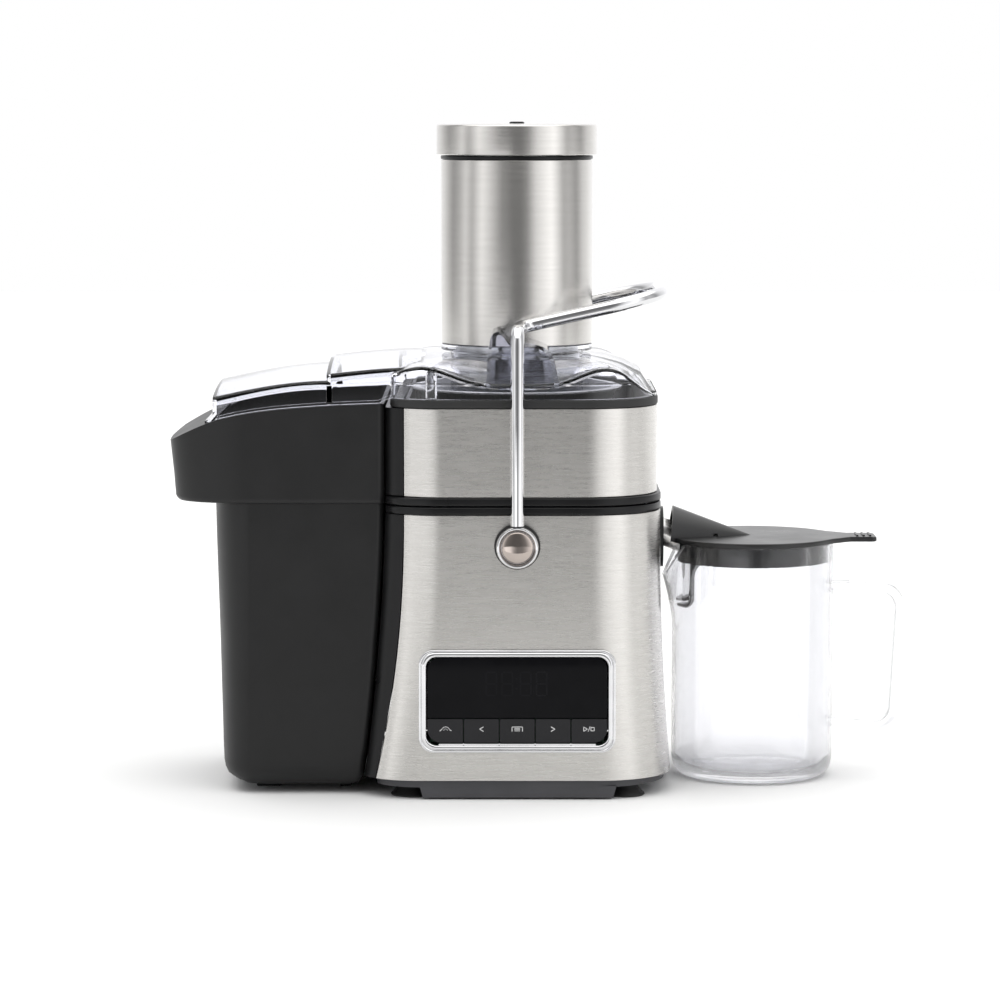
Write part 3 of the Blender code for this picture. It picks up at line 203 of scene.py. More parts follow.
def to_object(name, bm, look):
    bmesh.ops.remove_doubles(bm, verts=bm.verts, dist=0.0005)
    bmesh.ops.recalc_face_normals(bm, faces=bm.faces)
    bmesh.ops.scale(bm, vec=(MM, MM, MM), verts=bm.verts)
    bmesh.ops.translate(bm, vec=(AXIS_X, 0, 0), verts=bm.verts)
    mesh = bpy.data.meshes.new(name)
    bm.to_mesh(mesh)
    bm.free()
    mesh.materials.append(look)
    thing = bpy.data.objects.new(name, mesh)
    bpy.context.scene.collection.objects.link(thing)
    return thing


def bake(thing):
    """Make a piece's modifiers part of its mesh."""
    bpy.context.view_layer.update()
    graph = bpy.context.evaluated_depsgraph_get()
    mesh = bpy.data.meshes.new_from_object(thing.evaluated_get(graph))
    thing.modifiers.clear()
    thing.data = mesh
    return thing


def combine(thing, operation, *others):
    for other in others:
        step = thing.modifiers.new("shape", "BOOLEAN")
        step.operation = operation
        step.solver = "EXACT"
        step.object = other
        bake(thing)
        bpy.data.objects.remove(other, do_unlink=True)
    return thing


def cut(thing, *others):
    return combine(thing, "DIFFERENCE", *others)


def join(thing, *others):
    return combine(thing, "UNION", *others)


def soften(thing, width, segments=3, angle=32):
    """Round a piece's edges, in millimetres."""
    edge = thing.modifiers.new("edges", "BEVEL")
    edge.width = width * MM
    edge.segments = segments
    edge.limit_method = "ANGLE"
    edge.angle_limit = radians(angle)
    edge.use_clamp_overlap = True
    edge.miter_outer = "MITER_ARC"
    return bake(thing)


def show(thing, body, slot, *nodes, sharp=30, even=True):
    """A finished piece: smooth, riding on its body, standing for its CAD nodes."""
    thing.data.shade_smooth()
    thing.data.set_sharp_from_angle(angle=radians(sharp))
    if even:
        normals = thing.modifiers.new("normals", "WEIGHTED_NORMAL")
        normals.keep_sharp = True
        normals.weight = 60
    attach(thing, body)
    if nodes:
        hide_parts(*nodes)
    return thing


def ring_of(bm, points):
    return [bm.verts.new(point) for point in points]


def skin(bm, lower, upper, closed=True):
    count = len(lower)
    for i in range(count if closed else count - 1):
        j = (i + 1) % count
        bm.faces.new((lower[i], lower[j], upper[j], upper[i]))


def loft(name, sections, look, wrap=False):
    bm = bmesh.new()
    rings = [ring_of(bm, section) for section in sections]
    for lower, upper in zip(rings, rings[1:]):
        skin(bm, lower, upper)
    if wrap:
        skin(bm, rings[-1], rings[0])
    else:
        bm.faces.new(list(reversed(rings[0])))
        bm.faces.new(rings[-1])
    return to_object(name, bm, look)


def stack(name, levels, look, wrap=False):
    """A loft through level outlines, from (outline, height) pairs."""
    return loft(name, [[(x, y, z) for x, y in outline] for outline, z in levels], look, wrap)


def lathe(name, profile, look, centre=(0, 0), axis="Z", at=0.0, steps=96, hollow=False):
    """Turn (radius, height) pairs about Z, or about a line along Y at height at.

    A hollow piece's profile is a closed loop clear of the axis.
    """
    bm = bmesh.new()
    rings = []
    for radius, height in profile:
        turns = [2 * pi * k / steps for k in range(steps)] if radius > 0 else [0]
        rings.append(ring_of(bm, [turned(max(radius, 0), height, turn, centre, axis, at) for turn in turns]))
    pairs = list(zip(rings, rings[1:]))
    if hollow:
        pairs.append((rings[-1], rings[0]))
    for lower, upper in pairs:
        for k in range(steps):
            j = (k + 1) % steps
            corners = [lower[k % len(lower)], lower[j % len(lower)]]
            corners += [upper[j % len(upper)], upper[k % len(upper)]]
            face = list(dict.fromkeys(corners))
            if len(face) > 2:
                bm.faces.new(face)
    return to_object(name, bm, look)


def rod(name, radius, low, high, look, **more):
    """A plain round bar, used to drill holes."""
    return lathe(name, [(0, low), (radius, low), (radius, high), (0, high)], look, **more)


def turned(radius, height, turn, centre, axis, at):
    if axis == "Y":
        return (centre[0] + radius * cos(turn), height, at + radius * sin(turn))
    return (centre[0] + radius * cos(turn), centre[1] + radius * sin(turn), height + at)


def block(name, low, high, look):
    bm = bmesh.new()
    bmesh.ops.create_cube(bm, size=1.0)
    low, high = Vector(low), Vector(high)
    bmesh.ops.scale(bm, vec=high - low, verts=bm.verts)
    bmesh.ops.translate(bm, vec=(low + high) / 2, verts=bm.verts)
    return to_object(name, bm, look)


def extrude_xz(name, outline, y_low, y_high, look):
    return loft(name, [[(x, y, z) for x, z in outline] for y in (y_low, y_high)], look)


def arc(x, y, radius, start, end, steps, stretch=0.0):
    turns = [radians(start + (end - start) * i / steps) for i in range(steps + 1)]
    return [(x + (radius + stretch) * cos(turn), y + radius * sin(turn)) for turn in turns]


def rounded_plan(left, right, half_depth, left_corner, right_corner, steps=14, right_steps=24):
    points = []
    left_x = left + left_corner + LEFT_STRETCH
    points += arc(left_x, half_depth - left_corner, left_corner, 90, 180, steps, LEFT_STRETCH)
    points += arc(left_x, left_corner - half_depth, left_corner, 180, 270, steps, LEFT_STRETCH)
    points += arc(right - right_corner, right_corner - half_depth, right_corner, 270, 360, right_steps)
    points += arc(right - right_corner, half_depth - right_corner, right_corner, 0, 90, right_steps)
    return points


def rounded_rectangle(x_low, x_high, y_low, y_high, radius, steps=10):
    points = []
    for x, y, start in ((x_high - radius, y_high - radius, 0), (x_low + radius, y_high - radius, 90),
                        (x_low + radius, y_low + radius, 180), (x_high - radius, y_low + radius, 270)):
        points += arc(x, y, radius, start, start + 90, steps)
    return points


def fillet_path(corners, radii, steps=14):
    corners = [Vector(corner) for corner in corners]
    path = [corners[0]]
    for before, corner, after, radius in zip(corners, corners[1:], corners[2:], radii):
        back, ahead = (before - corner).normalized(), (after - corner).normalized()
        half = back.angle(ahead) / 2
        reach = radius * cos(half) / sin(half)
        centre = corner + (back + ahead).normalized() * (radius / sin(half))
        start, end = corner + back * reach - centre, corner + ahead * reach - centre
        path += [centre + start.slerp(end, i / steps) * radius for i in range(steps + 1)]
    path.append(corners[-1])
    return path


def sweep(name, path, outer, look, inner=None, sides=32):
    path = [Vector(point) for point in path]
    bm = bmesh.new()
    outside, inside = [], []
    side = None
    for i, point in enumerate(path):
        along = (path[min(i + 1, len(path) - 1)] - path[max(i - 1, 0)]).normalized()
        side = along.orthogonal() if side is None else side
        side = (side - along * side.dot(along)).normalized()
        other = along.cross(side)
        spokes = [side * cos(2 * pi * k / sides) + other * sin(2 * pi * k / sides) for k in range(sides)]
        outside.append(ring_of(bm, [point + spoke * outer for spoke in spokes]))
        if inner:
            inside.append(ring_of(bm, [point + spoke * inner for spoke in spokes]))
    for group in (outside, inside):
        for lower, upper in zip(group, group[1:]):
            skin(bm, lower, upper)
    if inner:
        skin(bm, outside[0], inside[0])
        skin(bm, outside[-1], inside[-1])
    else:
        bm.faces.new(list(reversed(outside[0])))
        bm.faces.new(outside[-1])
    return to_object(name, bm, look)


def thick_strip(name, outer_rows, inner_rows, look):
    bm = bmesh.new()
    outer = [ring_of(bm, row) for row in outer_rows]
    inner = [ring_of(bm, row) for row in inner_rows]
    for grid in (outer, inner):
        for lower, upper in zip(grid, grid[1:]):
            skin(bm, lower, upper, closed=False)
    skin(bm, outer[0], inner[0], closed=False)
    skin(bm, outer[-1], inner[-1], closed=False)
    for end in (0, -1):
        for k in range(len(outer) - 1):
            bm.faces.new((outer[k][end], outer[k + 1][end], inner[k + 1][end], inner[k][end]))
    return to_object(name, bm, look)


def between(levels, at):
    """Straight lines through (place, value) pairs."""
    for (p0, v0), (p1, v1) in zip(levels, levels[1:]):
        if at <= p1:
            return v0 + (v1 - v0) * max(at - p0, 0) / (p1 - p0)
    return levels[-1][1]


def smooth(share):
    share = min(max(share, 0.0), 1.0)
    return share * share * (3 - 2 * share)


# ---- base and bowl

LEFT_CORNER, LEFT_STRETCH, RIGHT_CORNER = 20, 10, 45
HOUSING_LEFT, HOUSING_RIGHT, HALF_DEPTH = -75.3, 86.7, 95.0
BOWL_RIGHT, BOWL_HALF_DEPTH = 84.6, 94.2
BAND_LEFT, BAND_RIGHT, BAND_HALF_DEPTH = -79.0, 87.0, 95.6
HOUSING_BOTTOM, HOUSING_TOP = 11.7, 171.3
FLARE_LEFT, FLARE_RIGHT = 14.2, 6.8  # how far the housing widens towards its foot
TOP_SPLIT = 222  # degrees round the left corner where the steel wrap meets the side panel, at the top
SKIN = 1.2
FACE = -HALF_DEPTH
PIVOT_Z = 153  # height of the bail's hubs, and of the spout where it leaves the housing
DROP_X = 70  # where the juice drops from the bowl into the spout
SPOUT_SLOPE = radians(22.7)
SPOUT_EXIT = Vector((87, 0, PIVOT_Z))
SPOUT_ALONG = Vector((cos(SPOUT_SLOPE), 0, -sin(SPOUT_SLOPE)))


def flare(z):
    """How much of its widening the housing has at a height, from 0 at the top to 1 at the bottom."""
    return max((HOUSING_TOP - z) / (HOUSING_TOP - HOUSING_BOTTOM), 0.0) ** 2.2


def side_bulge(z):
    """How far the side panel swells out between its edges."""
    return between([(11.7, 2.6), (18, 2.8), (45, 3.9), (90, 5.1), (135, 4.6), (172, 3.9), (240, 3.7)], z)


def wrap_row(left, right, half_depth, split, inset, z):
    radius, right_radius = LEFT_CORNER - inset, RIGHT_CORNER - inset
    x_left, x_right = left + LEFT_CORNER + LEFT_STRETCH, right - RIGHT_CORNER
    y_left, y_right = half_depth - LEFT_CORNER, half_depth - RIGHT_CORNER
    points = arc(x_left, -y_left, radius, split, 270, 12, LEFT_STRETCH)
    points += arc(x_right, -y_right, right_radius, 270, 360, 28)
    points += arc(x_right, y_right, right_radius, 0, 90, 28)
    points += arc(x_left, y_left, radius, 90, 360 - split, 12, LEFT_STRETCH)
    return [(x, y, z) for x, y in points]


def side_row(left, half_depth, split, z):
    steps = 14
    x_left, y_left = left + LEFT_CORNER + LEFT_STRETCH, half_depth - LEFT_CORNER
    points = arc(x_left, y_left, LEFT_CORNER, 360 - split + 0.9, 180, steps, LEFT_STRETCH)
    points += arc(x_left, -y_left, LEFT_CORNER, 180, split - 0.9, steps, LEFT_STRETCH)
    row = []
    for i, (x, y) in enumerate(points):
        share = min(i, 2 * steps + 1 - i) / steps
        row.append((x - side_bulge(z) * sin(share * pi / 2), y, z))
    return row


def pipe_clearance(name, radius):
    return sweep(name, [SPOUT_EXIT + SPOUT_ALONG * reach for reach in (-8, 14)], radius, BLACK, sides=40)


def build_housing():
    heights = [HOUSING_BOTTOM + 160 * (i / 40) ** 1.25 for i in range(40)] + [HOUSING_TOP]
    outer, inner, panel = [], [], []
    for z in heights:
        grow = flare(z)
        left, right = HOUSING_LEFT - FLARE_LEFT * grow, HOUSING_RIGHT + FLARE_RIGHT * grow
        split = TOP_SPLIT - 10 * grow
        outer.append(wrap_row(left, right, HALF_DEPTH, split, 0, z))
        inner.append(wrap_row(left, right, HALF_DEPTH, split, SKIN, z))
        panel.append(side_row(left, HALF_DEPTH, split, z))
    housing = soften(thick_strip("housing_skin", outer, inner, STEEL), 0.35, 2, 50)
    window = extrude_xz("window", rounded_rectangle(-56.6, 56.6, 30.2, 88.9, 7), -110, -80, BLACK)
    pivots = rod("pivots", 9, -120, 120, BLACK, axis="Y", at=PIVOT_Z, steps=48)
    inlet = block("inlet", (22, 85, 22), (50, 110, 40), BLACK)
    cut(housing, window, pivots, inlet, pipe_clearance("pipe", 10.5))
    show(housing, "base", "brushed_steel", "motor_housing")
    side = soften(loft("housing_side", panel, BLACK), 0.6, 2, 60)
    show(side, "base", "black_plastic", "housing_side_panel")


def build_bands():
    plan = rounded_plan(BAND_LEFT, BAND_RIGHT, BAND_HALF_DEPTH, LEFT_CORNER, RIGHT_CORNER)
    deck = stack("deck_band", [(plan, 171.6), (plan, 176.3)], BLACK)
    soften(deck, 1.1, 4, 60)
    cut(deck, rod("hole", 17, 160, 180, BLACK), rod("drop", 8.85, 160, 180, BLACK, centre=(DROP_X, 0)))
    show(deck, "base", "black_plastic", "housing_deck")
    inner = rounded_plan(BAND_LEFT + 10.8, BAND_RIGHT - 8, BAND_HALF_DEPTH - 8,
                         LEFT_CORNER - 8, RIGHT_CORNER - 8)
    rings = [(plan, 176.8), (plan, 181.8), (inner, 181.8), (inner, 176.8)]
    band = stack("bowl_band", rings, BLACK, wrap=True)
    show(soften(band, 1.2, 4, 60), "base", "black_plastic", "bowl_base_ring")

    rows = [182.1, 190, 205, 220, 234.7]
    outer, inside = [[wrap_row(HOUSING_LEFT, BOWL_RIGHT, BOWL_HALF_DEPTH, TOP_SPLIT, inset, z) for z in rows]
                     for inset in (0, SKIN)]
    shell = soften(thick_strip("bowl_skin", outer, inside, STEEL), 0.4, 2, 50)
    show(shell, "base", "brushed_steel", "bowl_shell")
    side = loft("bowl_side", [side_row(HOUSING_LEFT, BOWL_HALF_DEPTH, TOP_SPLIT, z) for z in rows], BLACK)
    show(soften(side, 0.6, 2, 60), "base", "black_plastic", "bowl_side_panel")

    ring_out = rounded_plan(-76.0, 85.0, 94.7, LEFT_CORNER, RIGHT_CORNER)
    ring_in = rounded_plan(-67.3, 80.6, 90.2, 16.0, 41.0)
    levels = [(ring_out, 235.0), (ring_out, 240.0), (ring_in, 240.0), (ring_in, 235.3)]
    gasket = stack("lid_gasket", levels, RUBBER, wrap=True)
    show(soften(gasket, 0.9, 4, 60), "base", "rubber", "bowl_gasket")


def build_plinth():
    outline = rounded_plan(HOUSING_LEFT - FLARE_LEFT + 5, HOUSING_RIGHT + FLARE_RIGHT - 4, HALF_DEPTH - 2,
                           LEFT_CORNER, RIGHT_CORNER)
    base = stack("plinth", [(outline, 7.4), (outline, 11.3)], PLINTH)
    for tag, side in (("front", -1), ("rear", 1)):
        skirt = [(-58.5, 8.2), (-56.5, 1.2), (57.5, 1.2), (59.5, 8.2)]
        join(base, extrude_xz(f"skirt_{tag}", skirt, side * 92.8, side * 88.2, PLINTH))
    soften(base, 0.8, 3, 40)
    for row in range(-3, 4):
        cut(base, block(f"vent_{row}", (-30, row * 9 - 2, 6), (30, row * 9 + 2, 13), PLINTH))
    show(base, "base", "dark_plastic", "base_plate")
    profile = [(0, 2.2), (7.0, 2.2), (8.5, 0.25), (8.9, 0.0), (11.6, 0), (12, 0.3), (12, 1.0), (11.6, 1.4),
               (10.2, 2.6), (8.7, 4.3), (7.5, 5.8), (7.2, 7.1), (0, 7.1)]
    for row, y in (("front", -74), ("rear", 74)):
        for side, x in (("left", -64), ("right", 65)):
            foot = lathe(f"foot_{row}_{side}", profile, RUBBER, centre=(x, y), steps=48)
            show(foot, "base", "rubber", f"suction_foot_{row}_{side}", even=False)


# ---- control panel

BEZEL_HALF, BEZEL_LOW, BEZEL_HIGH = 58.9, 28.9, 91.0
PANEL_HALF, PANEL_TOP = 53.8, 86.4
KEY_PITCH = 21.4
KEY_NAMES = ("pulse", "speed_down", "menu", "speed_up", "start_stop")


def nested(name, rings, look):
    """A frame round a rounded rectangle: (inset, y) pairs taken round as a closed profile."""
    sections = []
    for inset, y in rings:
        half = BEZEL_HALF - inset
        outline = rounded_rectangle(-half, half, BEZEL_LOW + inset, BEZEL_HIGH - inset, 9 - inset * 0.6)
        sections.append([(x, FACE + y, z) for x, z in outline])
    return loft(name, sections, look, wrap=True)


def build_bezel():
    profile = [(0, -0.4), (0, -0.8), (0.15, -1.15), (0.45, -1.35), (0.85, -1.4), (1.15, -1.25),
               (1.35, -0.95), (1.6, -0.8), (1.85, -0.95), (2.15, -1.3), (2.6, -1.52), (3.1, -1.6),
               (3.6, -1.55), (4.0, -1.4), (4.3, -1.1), (4.5, -0.7), (4.5, 4.6), (2.9, 4.6), (2.9, -0.4)]
    show(nested("bezel", profile, CHROME), "base", "chrome", "control_bezel", sharp=50)
    strip = rounded_rectangle(-47.0, 47.0, 33.0, 34.3, 0.5, 4)
    trim = soften(extrude_xz("trim", strip, FACE - 0.7, FACE + 2.5, CHROME), 0.3, 3, 50)
    for place in range(-2, 2):
        x = (place + 0.5) * KEY_PITCH
        cut(trim, block(f"notch_{place}", (x - 0.35, FACE - 2, 32), (x + 0.35, FACE + 0.4, 37), CHROME))
    show(trim, "base", "chrome", "button_trim_strip")


def build_panel():
    glass = rounded_rectangle(-PANEL_HALF, PANEL_HALF, 49.7, 86.2, 1.0, 4)
    corners = rounded_rectangle(-PANEL_HALF, PANEL_HALF, 33.0, PANEL_TOP, 7.5)
    keys = rounded_rectangle(-PANEL_HALF, PANEL_HALF, 34.9, PANEL_TOP, 8.5)
    window = extrude_xz("display", glass, FACE - 0.5, FACE + 2.5, GLOSS)
    combine(window, "INTERSECT", extrude_xz("corners", corners, FACE - 6, FACE + 9, GLOSS))
    show(soften(window, 0.45, 3, 50), "base", "panel_gloss", "display_window")
    for place, name in enumerate(KEY_NAMES):
        centre = (place - 2) * KEY_PITCH
        low = centre - (10.4 if place else 11.6)
        high = centre + (10.4 if place < 4 else 11.6)
        outline = rounded_rectangle(low, high, 34.3, 49.3, 0.8, 4)
        button = extrude_xz(f"{name}_key", outline, FACE - 0.6, FACE + 2.6, KEYS)
        combine(button, "INTERSECT", extrude_xz(f"{name}_trim", keys, FACE - 6, FACE + 9, KEYS))
        soften(button, 0.9, 4, 50)
        join(button, block(f"{name}_stem", (centre - 3, FACE + 2, 41), (centre + 3, FACE + 5.2, 45), KEYS))
        show(button, f"{name}_button_key", "panel_gloss", f"{name}_button")
        lines = []
        for width, points in icon_lines(name):
            lines += stroke([(centre + x, 43.2 + z) for x, z in points], width, FACE - 0.6, ICON)
        show(merge(f"{name}_icon", lines), f"{name}_button_key", "panel_gloss", even=False)
    build_digits()


def stroke(points, width, y, look, depth=0.06):
    """A flat line of a given width through (x, z) points."""
    pieces = []
    for start, end in zip(points, points[1:]):
        a, b = Vector(start), Vector(end)
        along = (b - a).normalized() * width * 0.35
        across = Vector((-along.y, along.x)).normalized() * width / 2
        outline = [a - along + across, a - along - across, b + along - across, b + along + across]
        pieces.append(extrude_xz("stroke", [(p.x, p.y) for p in outline], y - depth, y + 0.1, look))
    return pieces


def merge(name, things):
    """Several small solids as one piece."""
    bm = bmesh.new()
    look = things[0].data.materials[0]
    for thing in things:
        bm.from_mesh(thing.data)
        bpy.data.objects.remove(thing, do_unlink=True)
    mesh = bpy.data.meshes.new(name)
    bm.to_mesh(mesh)
    bm.free()
    mesh.materials.append(look)
    made = bpy.data.objects.new(name, mesh)
    bpy.context.scene.collection.objects.link(made)
    return made


def icon_lines(name):
    """A button's symbol, as (width, points) lines about its middle."""
    if name == "pulse":
        bows = [[(reach * cos(radians(turn)), reach * sin(radians(turn)) - 1) for turn in range(20, 170, 20)]
                for reach in (1.1, 2.4)]
        ends = [[(-3.4, -1.0), (-2.3, -0.2)], [(2.3, -0.2), (3.4, -1.0)]]
        return [(0.42, points) for points in bows + ends]
    if name == "menu":
        bars = [[(-1.6, level), (1.6, level)] for level in (-1.05, -0.3, 0.45)]
        return [(0.4, [(-3.1, -1.3), (-3.1, 1.3), (3.1, 1.3), (3.1, -1.3)])] + [(0.3, bar) for bar in bars]
    if name == "start_stop":
        return [(0.4, [(-3.1, -1.3), (-3.1, 1.3), (-0.9, 0), (-3.1, -1.3)]),
                (0.35, [(-0.4, -1.4), (0.6, 1.4)]),
                (0.4, [(1.2, -1), (1.2, 1), (3.2, 1), (3.2, -1), (1.2, -1)])]
    side = -1 if name == "speed_down" else 1
    return [(0.45, [(-side * 1.1, 1.3), (side * 1.1, 0), (-side * 1.1, -1.3)])]


def build_digits():
    """Unlit seven-segment digits, just visible in the dark display."""
    lines = []
    for x in (-15.5, -6.0, 5.0, 14.5):
        lines += [(0.9, [(x - 2.3, z), (x + 2.3, z)]) for z in (63.5, 70.5, 77.5)]
        lines += [(0.9, [(x + side, low), (x + side, low + 5.6)])
                  for side in (-3.1, 3.1) for low in (64.2, 71.2)]
    lines += [(0.8, [(-0.9, z), (-0.1, z)]) for z in (67.5, 73.5)]
    parts = []
    for width, points in lines:
        parts += stroke(points, width, FACE - 0.5, GHOST, 0.02)
    show(merge("display_segments", parts), "base", "panel_gloss", even=False)


# ---- bail, spout, chute

def build_bail():
    rod_y, half = 101.6, 60.0
    corners = [(0, -rod_y, 165.9), (0, -rod_y, 281.2), (2.0, -half, 281.4), (88, -half, 300.6)]
    corners += [(x, -y, z) for x, y, z in reversed(corners)]
    path = fillet_path(corners, [9, 9, 34, 34, 9, 9])
    show(sweep("bail_wire", path, 4.0, CHROME), "bail", "chrome", "bail_rod", even=False)
    hub = [(0, 83), (3.75, 83), (3.75, 97.5), (10.9, 97.5), (12.0, 97.9), (12.5, 98.7), (12.5, 103.2),
           (12.35, 103.9), (11.9, 104.4), (11.4, 104.55), (10.9, 104.4), (10.5, 103.9), (10.3, 103.0),
           (9.7, 102.5), (0, 102.5)]
    cap = [(9.5, 102.3), (9.5, 102.9)]
    cap += [(9.5 * cos(radians(turn)), 103.0 + 2.0 * sin(radians(turn))) for turn in range(8, 88, 8)]
    cap += [(0, 105.05), (0, 102.3)]
    gasket = [(4.5, 95.3), (13.4, 95.3), (13.7, 95.6), (13.7, 96.7), (13.4, 97.05), (12.9, 97.2), (4.5, 97.2)]
    for tag, side in (("front", 1), ("rear", -1)):
        for name, profile, look, hollow, *told in (
                ("pivot_ring", hub, CHROME, False, "bail", "chrome", f"bail_hub_{tag}"),
                ("pivot_cap", cap, SMOKED_CHROME, False, "bail", "chrome"),
                ("pivot_seal", gasket, RUBBER, True, "base", "rubber", f"pivot_gasket_{tag}")):
            profile = [(radius, side * y) for radius, y in profile]
            piece = lathe(f"{name}_{tag}", profile, look, axis="Y", at=PIVOT_Z, hollow=hollow)
            show(piece, *told, even=False)


def build_spout():
    bend = SPOUT_EXIT.z + (SPOUT_EXIT.x - DROP_X) * sin(SPOUT_SLOPE) / cos(SPOUT_SLOPE)
    mouth = SPOUT_EXIT + SPOUT_ALONG * (32.5 / cos(SPOUT_SLOPE))
    path = fillet_path([(DROP_X, 0, 184.7), (DROP_X, 0, bend), mouth], [12])
    pipe = sweep("spout_pipe", path, 8.25, STEEL_PIPE, inner=6.9, sides=48)
    show(pipe, "base", "brushed_steel", "juice_spout", even=False)
    outline = rounded_rectangle(-15, 15, 130, 167, 12, 14)
    sections = [[(87.2 + (1 - (z - 130) / 40), y, z) for y, z in outline]]
    sections += [[(x, y * share, z) for y, z in outline] for x, share in ((90.0, 0.95), (90.4, 0.91))]
    plate = loft("spout_seal", sections, BLACK)
    cut(plate, pipe_clearance("pipe", 8.75))
    show(plate, "base", "rubber", "spout_gasket")


def build_chute():
    sleeve = [(45.3, 269.0), (45.5, 268.7), (46.2, 268.7), (46.5, 269.1), (46.5, 380.3), (46.3, 380.7),
              (45.4, 380.7), (45.3, 380.5)]
    collar = [(41.2, 374), (45.0, 374), (45.0, 381.0), (46.3, 381.1), (46.6, 381.4), (46.6, 382.9),
              (46.2, 383.2), (38.8, 383.4), (38.6, 383.1), (38.6, 381.0), (41.2, 381.0)]
    tube = [(0, 231), (26, 231), (29, 228.3), (30, 228), (36.3, 228), (37.2, 228.4), (37.5, 229.2),
            (37.5, 383.8), (38.0, 384.2), (47.6, 384.2), (47.8, 384.5), (47.8, 386.2), (47.6, 386.4),
            (35, 386.4), (35, 233), (0, 233)]
    cap = [(0, 400.8), (48.1, 400.8), (48.1, 384.2), (48.4, 383.9), (49.0, 383.9), (49.3, 384.2),
           (49.3, 400.9), (49.15, 401.5), (48.75, 402.0), (48.1, 402.25), (47.4, 402.3), (0, 402.3)]
    knob = [(0, 402.6), (4.4, 402.6), (4.6, 402.75), (4.6, 403.3), (4.2, 403.7), (3.4, 403.88), (0, 403.9)]
    for name, profile, look, steps, hollow, *told in (
            ("chute_skin", sleeve, STEEL_TURNED, 160, True, "base", "brushed_steel", "chute_sleeve"),
            ("chute_ring", collar, BLACK, 160, True, "base", "black_plastic", "chute_collar"),
            ("pusher_tube", tube, PUSHER, 128, False, "pusher", "brushed_steel", "pusher"),
            ("cap_shell", cap, STEEL_TURNED, 160, False, "pusher", "brushed_steel", "pusher_cap"),
            ("cap_knob", knob, BLACK, 48, False, "pusher", "grey_plastic", "pusher_knob")):
        show(lathe(name, profile, look, steps=steps, hollow=hollow), *told, even=False)


# ---- lid

RIM = [(-220, 207.5), (-213, 211), (-205, 215.5), (-195, 220.8), (-183, 226), (-172, 229),
       (-160, 231.2), (-147, 232.9), (-135, 234), (-111, 235.6), (-79.5, 236.8), (-56, 237.2)]


def rim_height(x):
    """Height of the bin's sloping rim, rounded off a little between its points."""
    return sum(between(RIM, x + step) for step in (-6, -3, 0, 3, 6)) / 5


def hood_floor(x):
    over_bin = rim_height(x) + 0.35
    return over_bin + (240.3 - over_bin) * smooth((x + 82) / 6)


def lid_wall_top(x, y):
    height = 249.5 + 10.5 * exp(-((x + 57) / 24) ** 2) + 9.5 * exp(-((x - 52) / 20) ** 2)
    height -= 8.0 * smooth((x - 60) / 26)
    if abs(y) > 48 and x > 0:
        height = min(height, 153 + sqrt(121 * 121 - x * x))
    return height


def dome_plan(inset):
    """The lid's outline with its long sides divided, so that its swells come out round."""
    plan = rounded_plan(-75.4 + inset, 84.3 - inset, 93.6 - inset,
                        LEFT_CORNER - inset, RIGHT_CORNER + 3 - inset, 12, 20)
    fine = []
    for (x0, y0), (x1, y1) in zip(plan, plan[1:] + plan[:1]):
        parts = max(1, round(hypot(x1 - x0, y1 - y0) / 4))
        fine += [(x0 + (x1 - x0) * k / parts, y0 + (y1 - y0) * k / parts) for k in range(parts)]
    return fine


def lid_dome(name, inset, bottom):
    """The clear dome's outer form, with its ledge, or with an inset the hollow in it."""
    plan = dome_plan(inset)
    sections = [[(x, y, bottom) for x, y in plan]]
    if not inset:
        sections.append([(x, y, bottom + 1.6) for x, y in plan])
        for height, out in ((8.0, 0.0), (8.5, 0.6), (9.2, 0.6), (9.7, 0.0)):
            reach = 1 + out / 90
            sections.append([(x * reach, y * reach, min(bottom + height, lid_wall_top(x, y) - 1.45))
                             for x, y in plan])
    rounds = [(0, 0), (0.02, 0.8), (0.05, 1)]
    if not inset:
        rounds = [(0, 0), (0.004, 0.35), (0.012, 0.7), (0.028, 0.92), (0.05, 1.0)]
    shares = [0.09, 0.14, 0.2, 0.28, 0.36, 0.45, 0.55, 0.65, 0.75, 0.87, 1.0]
    for share, edge in rounds + [(share, 1.0) for share in shares]:
        section = []
        for x, y in plan:
            reach = hypot(x, y)
            scale = 1 + share * (42 / reach - 1)
            wall = lid_wall_top(x, y) - inset
            top = max(263.0, lid_wall_top(x, y)) - inset
            lift = between([(0.05, 0), (0.2, 0.52), (0.45, 0.78), (0.72, 0.93), (1, 1)], share)
            height = wall + 1.4 * edge - 1.4 + (top - wall) * lift
            section.append((x * scale, y * scale, min(height, top)))
        sections.append(section)
    return loft(name, sections, CLEAR)


def channel_part(name, x_low, x_high, z_low, z_high, half_width, inset, drop, crown):
    """A length of the hood over the bin, with a crowned roof and rounded shoulders."""
    count = max(8, round((x_high - x_low) / 4))
    sections = []
    for i in range(count + 1):
        x = x_low + (x_high - x_low) * i / count
        roof = z_low + (z_high - z_low) * sin(pi / 2 * i / count) - inset
        half = half_width - inset
        low = hood_floor(x) - drop
        section = [(x, -half, low), (x, -half, roof - 3.2)]
        section += [(x, -half + 0.35, roof - 1.7), (x, -half + 1.1, roof - 0.6)]
        for k in range(17):
            across = -1 + k / 8
            section.append((x, (half - 2.4) * across, roof + crown * (1 - across * across)))
        section += [(x, half - 1.1, roof - 0.6), (x, half - 0.35, roof - 1.7)]
        section += [(x, half, roof - 3.2), (x, half, low)]
        sections.append(section)
    return loft(name, sections, CLEAR)


